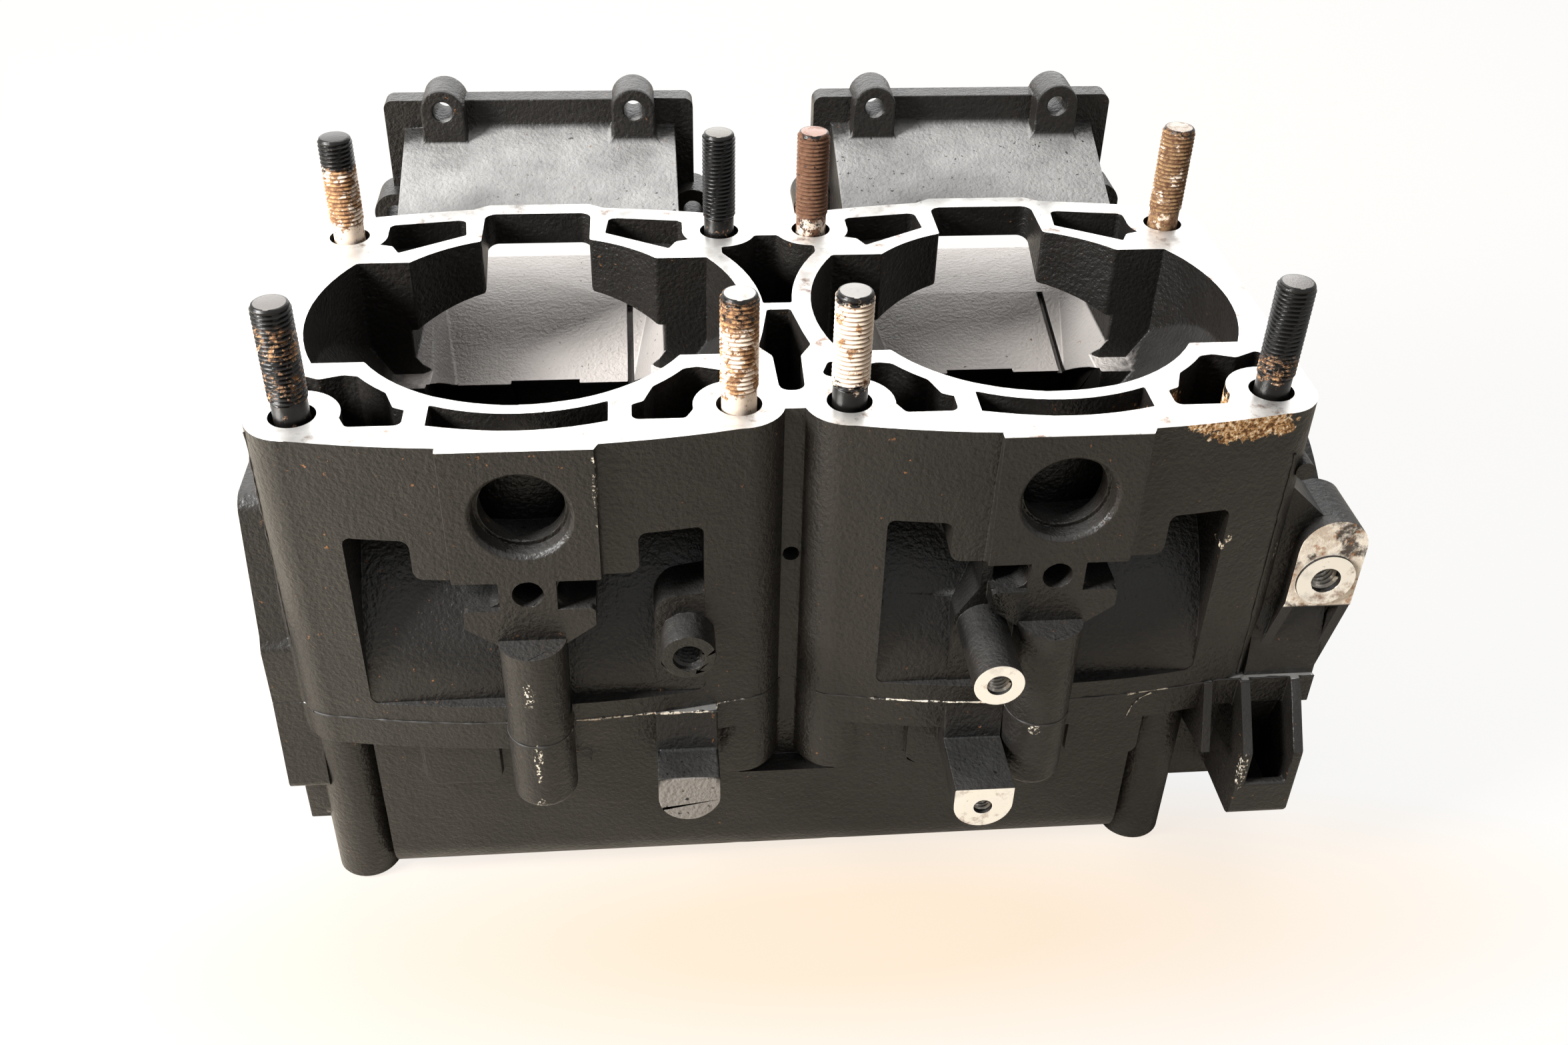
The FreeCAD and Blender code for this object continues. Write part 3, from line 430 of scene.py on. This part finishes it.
def castingPiece(nodeName, pieceName):
    piece = bpy.data.objects.new(pieceName, frame["nodes"][nodeName].data.copy())
    bpy.context.scene.collection.objects.link(piece)
    pick(piece)
    bpy.ops.object.mode_set(mode="EDIT")
    bpy.ops.mesh.select_all(action="SELECT")
    bpy.ops.mesh.customdata_custom_splitnormals_clear()
    bpy.ops.mesh.remove_doubles(threshold=0.002 * mm)
    bpy.ops.mesh.dissolve_limited(angle_limit=math.radians(0.3))
    bpy.ops.object.mode_set(mode="OBJECT")
    base = piece.data
    base.materials.clear()
    for material in (coatedCasting, milledFace, saltedFace):
        base.materials.append(material)
    for face in base.polygons:
        face.material_index = faceFinish(nodeName, face.center / mm, face.normal)
    base.calc_loop_triangles()
    surface = BVHTree.FromPolygons([vertex.co for vertex in base.vertices],
                                   [triangle.vertices for triangle in base.loop_triangles],
                                   all_triangles=True)
    bm = bmesh.new()
    bm.from_mesh(base)
    widths = [edgeWidth(edge) for edge in bm.edges]
    bm.free()
    for turn in range(casting["turns"]):
        trial = bevelledCopy(base, widths)
        guilty = spoiltEdges(trial, base, surface, widths)
        print(pieceName, "bevel turn", turn, "edges eased", len(guilty))
        if not guilty or turn == casting["turns"] - 1:
            break
        for index in guilty:
            widths[index] *= casting["easing"]
            if widths[index] < 0.15:
                widths[index] = 0.0
        bpy.data.objects.remove(trial)
    piece.data = trial.data
    bpy.data.objects.remove(trial)
    for face in piece.data.polygons:
        face.use_smooth = True
        if abs(face.center.z) < 0.45 * mm and abs(face.normal.z) < 0.95:
            face.material_index = 0       # the coat reaches the very edge of the seam
    pick(piece)
    bpy.ops.object.shade_smooth_by_angle(angle=math.radians(40))
    weighted = piece.modifiers.new("weighted", "WEIGHTED_NORMAL")
    weighted.keep_sharp = True
    bpy.ops.object.modifier_apply(modifier=weighted.name)
    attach(piece, "root")
    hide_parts(nodeName)
    print(pieceName, "has", len(piece.data.polygons), "faces")
    return piece


upperCase = castingPiece("upper_case", "upperCaseCasting")
lowerCase = castingPiece("lower_case", "lowerCaseCasting")


# black-oxided steel gone rusty: dark satin where whole, dull brown, tan and cream scale where not
studSteel = {
    "oxide": "#191817", "brown": "#583620", "tan": "#B98D60", "cream": "#EDDDCB",
    "cleanAndRusted": {"Roughness": (0.34, 0.85), "Metallic": (0.6, 0.0)}, "crestRadii": (4.35, 4.75),
    "rootShare": 0.25, "grains": {"torn": (3.4, 5.0, 0.7), "spot": (1.7, 6.0, 0.75), "tone": (1.3, 4.0, 0.7),
               "bloom": (4.6, 5.0, 0.7), "fine": (0.8, 3.0, 0.7)},
    "masks": {"tilt": ("torn", 0.3, 0.7, -0.003, 0.003), "toned": ("tone", 0.38, 0.6, 0.0, 1.0)},
}
# each band of rust: from and to in mm above the deck, how much it covers, how much of it is cream
studLooks = {
    "studFrontLeft": {"cell": -1, "dx": -1, "dy": -1, "top": "#6E6A66",
                      "bands": [(7, 15, 0.42, 0.25), (18, 27, 0.45, 0.3), (-30, 3.5, 0.25, 0.1)]},
    "studBackLeft": {"cell": -1, "dx": -1, "dy": 1, "top": "#2E2B29",
                     "bands": [(4.5, 22, 0.92, 0.45), (-30, 4.5, 1.0, 0.85), (22, 30, 0.2, 0.0)]},
    "studBackInnerLeft": {"cell": -1, "dx": 1, "dy": 1, "top": "#716D67", "bands": [(0, 6, 0.3, 0.1)]},
    "studBackInnerRight": {"cell": 1, "dx": -1, "dy": 1, "top": "#94776B", "tan": "#70503A",
                           "bands": [(5, 31, 0.8, 0.03), (-30, 5, 0.7, 0.5)]},
    "studBackRight": {"cell": 1, "dx": 1, "dy": 1, "top": "#A79B8F", "tan": "#A08058",
                      "bands": [(4, 31, 0.85, 0.3), (-30, 4, 0.8, 0.4)]},
    "studFrontInnerLeft": {"cell": -1, "dx": 1, "dy": -1, "top": "#B0AAA3",
                           "bands": [(22, 31, 0.6, 0.1), (4.5, 23, 0.95, 0.62), (-30, 4.5, 1.0, 0.85)]},
    "studFrontInnerRight": {"cell": 1, "dx": -1, "dy": -1, "top": "#8D8A86",
                            "bands": [(6, 29.5, 0.9, 0.8)]},
    "studFrontRight": {"cell": 1, "dx": 1, "dy": -1, "top": "#7C7976",
                       "bands": [(5, 11, 0.5, 0.3)]},
}


def studPlace(look):
    pattern = "cylinder_studs_left" if look["cell"] < 0 else "cylinder_studs_right"
    spacing = mounts[pattern]["dims"]
    return (places[pattern].x + look["dx"] * spacing["spacing_x_mm"] / 2,
            places[pattern].y + look["dy"] * spacing["spacing_y_mm"] / 2, 0)


def makeStudSteel(name, look):
    material, tree, shader, values = startMaterial("blackOxideSteel" + name[4:], studSteel)
    axis = addNode(tree, "VectorMath", {"operation": "SUBTRACT", 1: [c * mm for c in studPlace(look)]},
                   {0: values["point"]})
    flatWay = addNode(tree, "VectorMath", {"operation": "MULTIPLY", 1: (1, 1, 0)}, {0: axis.outputs[0]})
    radius = addNode(tree, "VectorMath", {"operation": "LENGTH"}, {0: flatWay.outputs[0]}).outputs["Value"]
    low, high = (size * mm for size in studSteel["crestRadii"])
    crest = addNode(tree, "MapRange", {"From Min": low, "From Max": high, "To Min": studSteel["rootShare"]},
                    {"Value": radius}).outputs[0]       # thread roots stay darker than crests
    height = addNode(tree, "SeparateXYZ", {}, {0: values["point"]}).outputs["Z"]
    level = addNode(tree, "Math", {"operation": "ADD"}, {0: height, 1: values["tilt"]}).outputs[0]
    layers, rusted, tan = [], None, look.get("tan", studSteel["tan"])
    for low, high, cover, cream in look["bands"]:
        low, high = (deckZ + low) * mm, (deckZ + high) * mm
        above = addNode(tree, "MapRange", {"From Min": low - 0.4 * mm, "From Max": low + 0.4 * mm},
                        {"Value": level})
        below = addNode(tree, "MapRange", {"From Min": high + 0.5 * mm, "From Max": high - 0.5 * mm},
                        {"Value": level})
        spots = addNode(tree, "MapRange", {"From Min": 0.7 - 0.42 * cover, "From Max": 0.76 - 0.42 * cover},
                        {"Value": values["spot"]})
        pale = addNode(tree, "MapRange", {"From Min": 0.66 - 0.3 * cream, "From Max": 0.7 - 0.3 * cream},
                       {"Value": values["bloom"]})
        band = chained(tree, "MULTIPLY", above.outputs[0], below.outputs[0], spots.outputs[0])
        crests = chained(tree, "MULTIPLY", band, crest, values["toned"])
        layers += [(band, studSteel["brown"]), (crests, tan)]
        if cream:
            layers.append((chained(tree, "MULTIPLY", band, crest, pale.outputs[0]), studSteel["cream"]))
        rusted = band if rusted is None else chained(tree, "MAXIMUM", rusted, band)
    facing = addNode(tree, "NewGeometry").outputs["Normal"]
    up = addNode(tree, "SeparateXYZ", {}, {0: facing}).outputs["Z"]
    flat = addNode(tree, "MapRange", {"From Min": 0.95, "From Max": 0.985}, {"Value": up}).outputs[0]
    high = addNode(tree, "MapRange", {"From Min": (studTop - 1) * mm, "From Max": (studTop - 0.8) * mm},
                   {"Value": height}).outputs[0]
    layers.append((chained(tree, "MULTIPLY", flat, high), look["top"]))
    layColours(tree, shader, studSteel["oxide"], layers)
    for socket, (clean, dirty) in studSteel["cleanAndRusted"].items():
        blend = addNode(tree, "MapRange", {"To Min": clean, "To Max": dirty}, {"Value": rusted})
        tree.links.new(blend.outputs[0], shader.inputs[socket])
    values["rusted"] = rusted
    layBumps(tree, shader, values, [("rusted", 0.1, 0.4), ("fine", 0.14, 0.55)])
    return material


# sizes of a stud in mm, but around is a count
stud = {"radius": 4.97, "root": 4.2, "pitch": 1.25, "shank": 4.58, "shankTop": 5.0, "crown": 1.3,
        "around": 36, "step": 0.21}
studHeights = [vertex.co.z / mm for vertex in frame["nodes"]["cylinder_studs"].data.vertices]
studLow, studTop = min(studHeights), max(studHeights)


def threadShape(z, turn):
    # radius of the stud at this height and turn: plain shank, a V thread, then a rounded crown
    rise = z - deckZ
    if rise < stud["shankTop"]:
        return stud["shank"]
    phase = (z / stud["pitch"] - turn) % 1.0
    crest = min(1.0, abs(2 * phase - 1) * 1.25)
    radius = stud["root"] + (stud["radius"] - stud["root"]) * crest
    crown = stud["crown"]
    if z > studTop - crown:
        drop = 1 - math.sqrt(max(0.0, 1 - ((z - studTop + crown) / crown) ** 2))
        radius = min(radius, stud["radius"] - 0.9 * drop - 0.25)
    if rise < stud["shankTop"] + 0.8:
        radius = min(radius, stud["shank"] + 0.3)
    return radius


def makeStud():
    bpy.ops.mesh.primitive_circle_add(vertices=stud["around"], radius=stud["shank"] * mm, fill_type="NGON",
                                      location=(0, 0, studLow * mm))
    piece = bpy.context.object
    bpy.ops.object.transform_apply(location=True, rotation=True, scale=True)
    levels = [studLow, studLow + 22, deckZ - 4]
    z = deckZ
    while z < studTop - stud["crown"]:
        levels.append(z)
        z += stud["step"]
    levels += [studTop - 0.1 - stud["crown"] * (1 - k / 6) for k in range(7)]
    bpy.ops.object.mode_set(mode="EDIT")
    bpy.ops.mesh.select_all(action="SELECT")
    for here, there in zip(levels, levels[1:]):
        bpy.ops.mesh.extrude_region_move(TRANSFORM_OT_translate={"value": (0, 0, (there - here) * mm)})
    bpy.ops.mesh.inset(thickness=0.9 * mm)
    bpy.ops.transform.translate(value=(0, 0, 0.09 * mm))
    bpy.ops.mesh.select_all(action="SELECT")
    bpy.ops.mesh.normals_make_consistent(inside=False)
    bpy.ops.object.mode_set(mode="OBJECT")
    for vertex in piece.data.vertices:
        away = math.hypot(vertex.co.x, vertex.co.y)
        if away > 0.9 * stud["shank"] * mm:
            turn = math.atan2(vertex.co.y, vertex.co.x) / (2 * math.pi)
            wanted = threadShape(vertex.co.z / mm, turn) * mm
            vertex.co.x *= wanted / away
            vertex.co.y *= wanted / away
    return piece


studMaster = makeStud()
for name, look in studLooks.items():
    copy = bpy.data.objects.new(name, studMaster.data.copy())
    bpy.context.scene.collection.objects.link(copy)
    copy.location = [c * mm for c in studPlace(look)]
    finishPiece(copy, makeStudSteel(name, look), smoothAngle=50)
    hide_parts("cylinder_studs")
bpy.data.objects.remove(studMaster)
print("studs made")


# sealant squeezed out of the seam and casting flash: dark and dull, with cream salt along parts of it
bead = {
    "dark": "#181614", "cream": "#E4DACA", "brown": "#8A6440",
    "grains": {"bit": (1.6, 5.0, 0.7), "run": (16.0, 3.0, 0.6), "fine": (0.6, 2.0, 0.6),
               "ragged": (3.0, 5.0, 0.7)},
    "rough": 0.6,
    "masks": {"bits": ("bit", 0.44, 0.5, 0.0, 1.0), "brownBits": ("bit", 0.58, 0.64, 0.0, 1.0),
              "runs": ("run", 0.36, 0.44, 0.0, 1.0)},
    "creamRuns": [((-38.0, -72.0, 0.0), (24.0, 30.0, 8.0)), ((42.0, -72.0, 0.0), (19.0, 30.0, 8.0)),
                  ((104.0, -68.0, 0.0), (7.0, 12.0, 4.0))],
}


def makeBeadPaint(name, creamEverywhere):
    material, tree, shader, values = startMaterial(name, bead)
    shown = patchUnion(tree, values, bead["creamRuns"], 0.3)
    inRuns = chained(tree, "MULTIPLY", shown, values["bits"], values["runs"])
    cream = values["bits"] if creamEverywhere else inRuns
    layColours(tree, shader, bead["dark"], [
        (cream, bead["cream"]),
        (chained(tree, "MULTIPLY", cream, values["brownBits"]), bead["brown"]),
    ])
    shader.inputs["Roughness"].default_value = bead["rough"]
    layBumps(tree, shader, values, [("fine", 0.1, 0.5)])
    return material


sealantPaint = makeBeadPaint("darkSealant", False)
saltTrace = makeBeadPaint("saltTrace", True)


def roundBead(piece, radius, waviness, longest):
    # a thin line of edges becomes a round bead of uneven thickness
    pick(piece)
    bpy.ops.object.mode_set(mode="EDIT")
    for turn in range(8):
        bpy.ops.mesh.select_all(action="DESELECT")
        bm = bmesh.from_edit_mesh(piece.data)
        bm.select_mode = {"EDGE"}
        long = [edge for edge in bm.edges if edge.calc_length() > longest * mm]
        if not long:
            break
        for edge in long:
            edge.select = True
        bm.select_flush_mode()
        bmesh.update_edit_mesh(piece.data)
        bpy.ops.mesh.subdivide(number_cuts=1)
    bpy.ops.object.mode_set(mode="OBJECT")
    bpy.ops.object.convert(target="CURVE")
    piece.data.bevel_depth = radius * mm
    piece.data.bevel_resolution = 2
    piece.data.use_fill_caps = True
    bpy.ops.object.convert(target="MESH")
    piece = bpy.context.object
    pushes = [vertex.normal * mm * waviness * (noise.noise(vertex.co / (2.6 * mm)) - 0.35)
              for vertex in piece.data.vertices]
    for vertex, push in zip(piece.data.vertices, pushes):
        vertex.co += push
    return piece


def makeSeamBead():
    # the front outline of the joint, taken from the lower casting
    mesh = frame["nodes"]["lower_case"].data.copy()
    piece = bpy.data.objects.new("seamSealant", mesh)
    bpy.context.scene.collection.objects.link(piece)
    pick(piece)
    bpy.ops.object.mode_set(mode="EDIT")
    bpy.ops.mesh.select_all(action="SELECT")
    bpy.ops.mesh.remove_doubles(threshold=0.002 * mm)
    bpy.ops.mesh.select_all(action="DESELECT")
    bm = bmesh.from_edit_mesh(mesh)
    bm.select_mode = {"EDGE"}
    for edge in bm.edges:
        level = all(abs(vertex.co.z) < 0.02 * mm and vertex.co.y < -59.5 * mm for vertex in edge.verts)
        steep = [abs(face.normal.z) < 0.9 for face in edge.link_faces]
        edge.select = not (level and any(steep) and not all(steep))
    bm.select_flush_mode()
    bmesh.update_edit_mesh(mesh)
    bpy.ops.mesh.delete(type="EDGE")
    bpy.ops.object.mode_set(mode="OBJECT")
    print("seam outline has", len(mesh.edges), "edges")
    return roundBead(piece, 0.42, 0.42, 1.6)


def makeLine(name, points):
    mesh = bpy.data.meshes.new(name)
    links = [(k, k + 1) for k in range(len(points) - 1)]
    mesh.from_pydata([[c * mm for c in point] for point in points], links, [])
    piece = bpy.data.objects.new(name, mesh)
    bpy.context.scene.collection.objects.link(piece)
    return piece


finishPiece(makeSeamBead(), sealantPaint, smoothAngle=60)
# where the moulds met the metal stands up in a notched line: place from top to bottom, mm
flashLines = {
    "flashLeft": {"points": [(-136.6, -55.5, deckZ - 1.5), (-136.6, -55.5, 1.0)],
                  "radius": 0.45, "waviness": 0.5},
    "flashRight": {"points": [(131.5, -61.0, 78.0), (131.5, -61.0, 0.6)],
                   "radius": 0.4, "waviness": 0.4},
}
for name, line in flashLines.items():
    ridge = roundBead(makeLine(name, line["points"]), line["radius"], line["waviness"], 1.2)
    finishPiece(ridge, coatedCasting, smoothAngle=60)
trace = {"points": [(104.5, -66.2, -0.5), (101.5, -66.4, -2.2), (99.3, -66.6, -5.0), (98.2, -66.6, -9.6),
                    (97.2, -62.0, -11.0), (96.6, -60.7, -13.0), (95.8, -60.6, -20.0), (95.4, -60.6, -28.0)],
         "radius": 0.3, "waviness": 0.5}
traceBead = roundBead(makeLine("saltRun", trace["points"]), trace["radius"], trace["waviness"], 0.8)
finishPiece(traceBead, saltTrace, smoothAngle=60)
print("beads made")


# aluminium cut by a tap, oily and grey deep in its hole
tapped = {"metal": "#6E6962", "bright": "#B0AAA2", "grains": {"film": (2.0, 3.0, 0.6)},
          "masks": {"filmy": ("film", 0.5, 0.7, 0.0, 1.0)}, "metallic": 0.9, "rough": 0.4}


def makeTappedMetal():
    material, tree, shader, values = startMaterial("tappedAluminium", tapped)
    layColours(tree, shader, tapped["metal"], [(values["filmy"], tapped["bright"])])
    shader.inputs["Metallic"].default_value = tapped["metallic"]
    shader.inputs["Roughness"].default_value = tapped["rough"]
    layBumps(tree, shader, values, [("film", 0.02, 0.3)])
    return material


tappedMetal = makeTappedMetal()
# ridges of the tapped holes: the mount, y of its mouth, length, radius and pitch in mm
threads = {
    "threadEar": {"hole": "ear_hole", "mouth": -59.3, "length": 15.0, "radius": 4.2, "pitch": 1.5,
                  "clean": True},
    "threadBossRight": {"hole": "front_boss_right", "mouth": -89.2, "length": 15.0, "radius": 3.3,
                        "pitch": 1.25, "clean": True},
    "threadLug": {"hole": "lug_hole", "mouth": -89.2, "length": 12.0, "radius": 2.6, "pitch": 1.0,
                  "clean": True},
    "threadBossLeft": {"hole": "front_boss_left", "mouth": -73.2, "length": 15.0, "radius": 4.3,
                       "pitch": 1.5, "clean": False},
}
for name, cut in threads.items():
    outer, crest = cut["radius"] + 0.05, cut["radius"] - 0.55 * cut["pitch"]
    ridge = makeLine(name, [(outer, 0, 0), (crest, 0, 0.42 * cut["pitch"]), (outer, 0, 0.84 * cut["pitch"])])
    pick(ridge)
    screw = ridge.modifiers.new("thread", "SCREW")
    screw.axis = "Z"
    screw.screw_offset = cut["pitch"] * mm
    screw.iterations = int(cut["length"] / cut["pitch"])
    screw.steps = screw.render_steps = 32
    bpy.ops.object.modifier_apply(modifier=screw.name)
    hole = places[cut["hole"]]
    ridge.rotation_euler = (math.radians(-90), 0, 0)
    ridge.location = (hole.x * mm, cut["mouth"] * mm, hole.z * mm)
    finishPiece(ridge, tappedMetal if cut["clean"] else coatedCasting, smoothAngle=35)
print("threads made")


# zinc-plated steel: pale grey, faintly yellow, satin
zinc = {"plate": "#8E8C84", "worn": "#A9A69A", "grains": {"film": (4.0, 4.0, 0.6), "fine": (0.8, 2.0, 0.5)},
        "masks": {"filmy": ("film", 0.35, 0.7, 0.0, 1.0)}}


def makeZincSteel():
    material, tree, shader, values = startMaterial("zincPlatedSteel", zinc)
    layColours(tree, shader, zinc["plate"], [(values["filmy"], zinc["worn"])])
    shader.inputs["Metallic"].default_value = 0.9
    shader.inputs["Roughness"].default_value = 0.42
    layBumps(tree, shader, values, [("fine", 0.03, 0.3)])
    return material


zincSteel = makeZincSteel()
for nodeName in ("case_bolts", "locating_dowels"):
    frame["nodes"][nodeName].data.materials.clear()
    frame["nodes"][nodeName].data.materials.append(zincSteel)


studio = {"floor": "#DDD2C0", "seenFloor": "#FFFFFF", "seenShare": 0.88, "paintedWarmGlow": "#FFEBD4", "reach": 3.0,
          "paintedGlowCentre": (0.02, -0.09, 0.0), "paintedGlowReach": (0.2, 0.05, 1.0), "ambient": 0.12}


def makeFloor():
    # matt paper, warm where it lights the casting and nearly white where the camera sees it, but for a
    # painted warm glow on the paper just in front of the casting
    bpy.ops.mesh.primitive_plane_add(size=2 * studio["reach"], location=(0, 0, footZ * mm))
    floor = bpy.context.object
    floor.name = "studioFloor"
    material, tree, shader, values = startMaterial("palePaperFloor", {"grains": {}, "masks": {}})
    shader.inputs["Base Color"].default_value = linear(studio["floor"])
    shader.inputs["Roughness"].default_value = 0.9
    offset = addNode(tree, "VectorMath", {"operation": "SUBTRACT", 1: studio["paintedGlowCentre"]},
                     {0: values["point"]})
    scaled = addNode(tree, "VectorMath", {"operation": "DIVIDE", 1: studio["paintedGlowReach"]},
                     {0: offset.outputs[0]})
    away = addNode(tree, "VectorMath", {"operation": "LENGTH"}, {0: scaled.outputs[0]}).outputs["Value"]
    # painted warm glow: the paper the camera sees turns warm close in front of the casting
    near = addNode(tree, "MapRange", {"From Min": 1.3, "From Max": 0.3}, {"Value": away}).outputs[0]
    tone = addNode(tree, "Mix", {"data_type": "RGBA", 6: studio["seenFloor"], 7: studio["paintedWarmGlow"]}, {0: near})
    glow = addNode(tree, "Emission", {"Strength": 1.0}, {"Color": tone.outputs[2]})
    seen = addNode(tree, "LightPath")
    share = addNode(tree, "Math", {"operation": "MULTIPLY", 1: studio["seenShare"]},
                    {0: seen.outputs["Is Camera Ray"]})
    mixed = addNode(tree, "MixShader", {}, {0: share.outputs[0], 1: shader.outputs[0], 2: glow.outputs[0]})
    tree.links.new(mixed.outputs[0], tree.nodes["Material Output"].inputs["Surface"])
    floor.data.materials.append(material)


def makeWorld():
    # white to the camera, to mirrors and through glass; a plain dim white as light
    world = bpy.data.worlds.new("studioWorld")
    bpy.context.scene.world = world
    world.use_nodes = True
    tree = world.node_tree
    back = tree.nodes["Background"]
    back.inputs["Color"].default_value = (1, 1, 1, 1)
    seen = addNode(tree, "LightPath")
    glossy = addNode(tree, "Math", {"operation": "ADD"},
                     {0: seen.outputs["Is Camera Ray"], 1: seen.outputs["Is Glossy Ray"]})
    direct = addNode(tree, "Math", {"operation": "ADD", "use_clamp": True},
                     {0: glossy.outputs[0], 1: seen.outputs["Is Transmission Ray"]})
    strength = addNode(tree, "MapRange", {"To Min": studio["ambient"], "To Max": 1.0},
                       {"Value": direct.outputs[0]})
    tree.links.new(strength.outputs[0], back.inputs["Strength"])


def makeLamp(name, place, target, size, energy):
    bpy.ops.object.light_add(type="AREA", location=place)
    lamp = bpy.context.object
    lamp.name = name
    lamp.data.shape = "RECTANGLE"
    lamp.data.size, lamp.data.size_y = size
    lamp.data.energy = energy
    lamp.rotation_euler = (Vector(target) - Vector(place)).to_track_quat("-Z", "Y").to_euler()


makeFloor()
makeWorld()
# place and target in metres, size in metres, power in watts
lamps = {
    "topSoftbox": {"place": (-0.1, 0.5, 1.1), "target": (0, 0, 0), "size": (1.2, 0.9), "energy": 13},
    "keySoftbox": {"place": (-0.75, -0.28, 0.45), "target": (-0.1, 0, 0.03), "size": (0.3, 0.3),
                   "energy": 23},
    "backSoftbox": {"place": (0.0, 1.1, 0.4), "target": (0, 0, 0.05), "size": (1.4, 0.6), "energy": 6},
    "fillSoftbox": {"place": (0.9, -0.9, 0.6), "target": (0, 0, 0), "size": (0.9, 0.9), "energy": 0.8},
}
for name, lamp in lamps.items():
    makeLamp(name, **lamp)
# where the camera stands and how it looks, in metres, degrees and mm
view = {"place": (-0.03556, -0.380418, 0.297161), "turn": (53.661, -1.284, -4.889), "lens": 34.935}


def makeCamera():
    bpy.ops.object.camera_add(location=view["place"], rotation=[math.radians(a) for a in view["turn"]])
    camera = bpy.context.object
    camera.data.lens = view["lens"]
    camera.data.sensor_width = 36.0
    camera.data.clip_start = 0.01
    bpy.context.scene.camera = camera


makeCamera()
bpy.context.scene.view_settings.view_transform = "Standard"
print("studio ready")
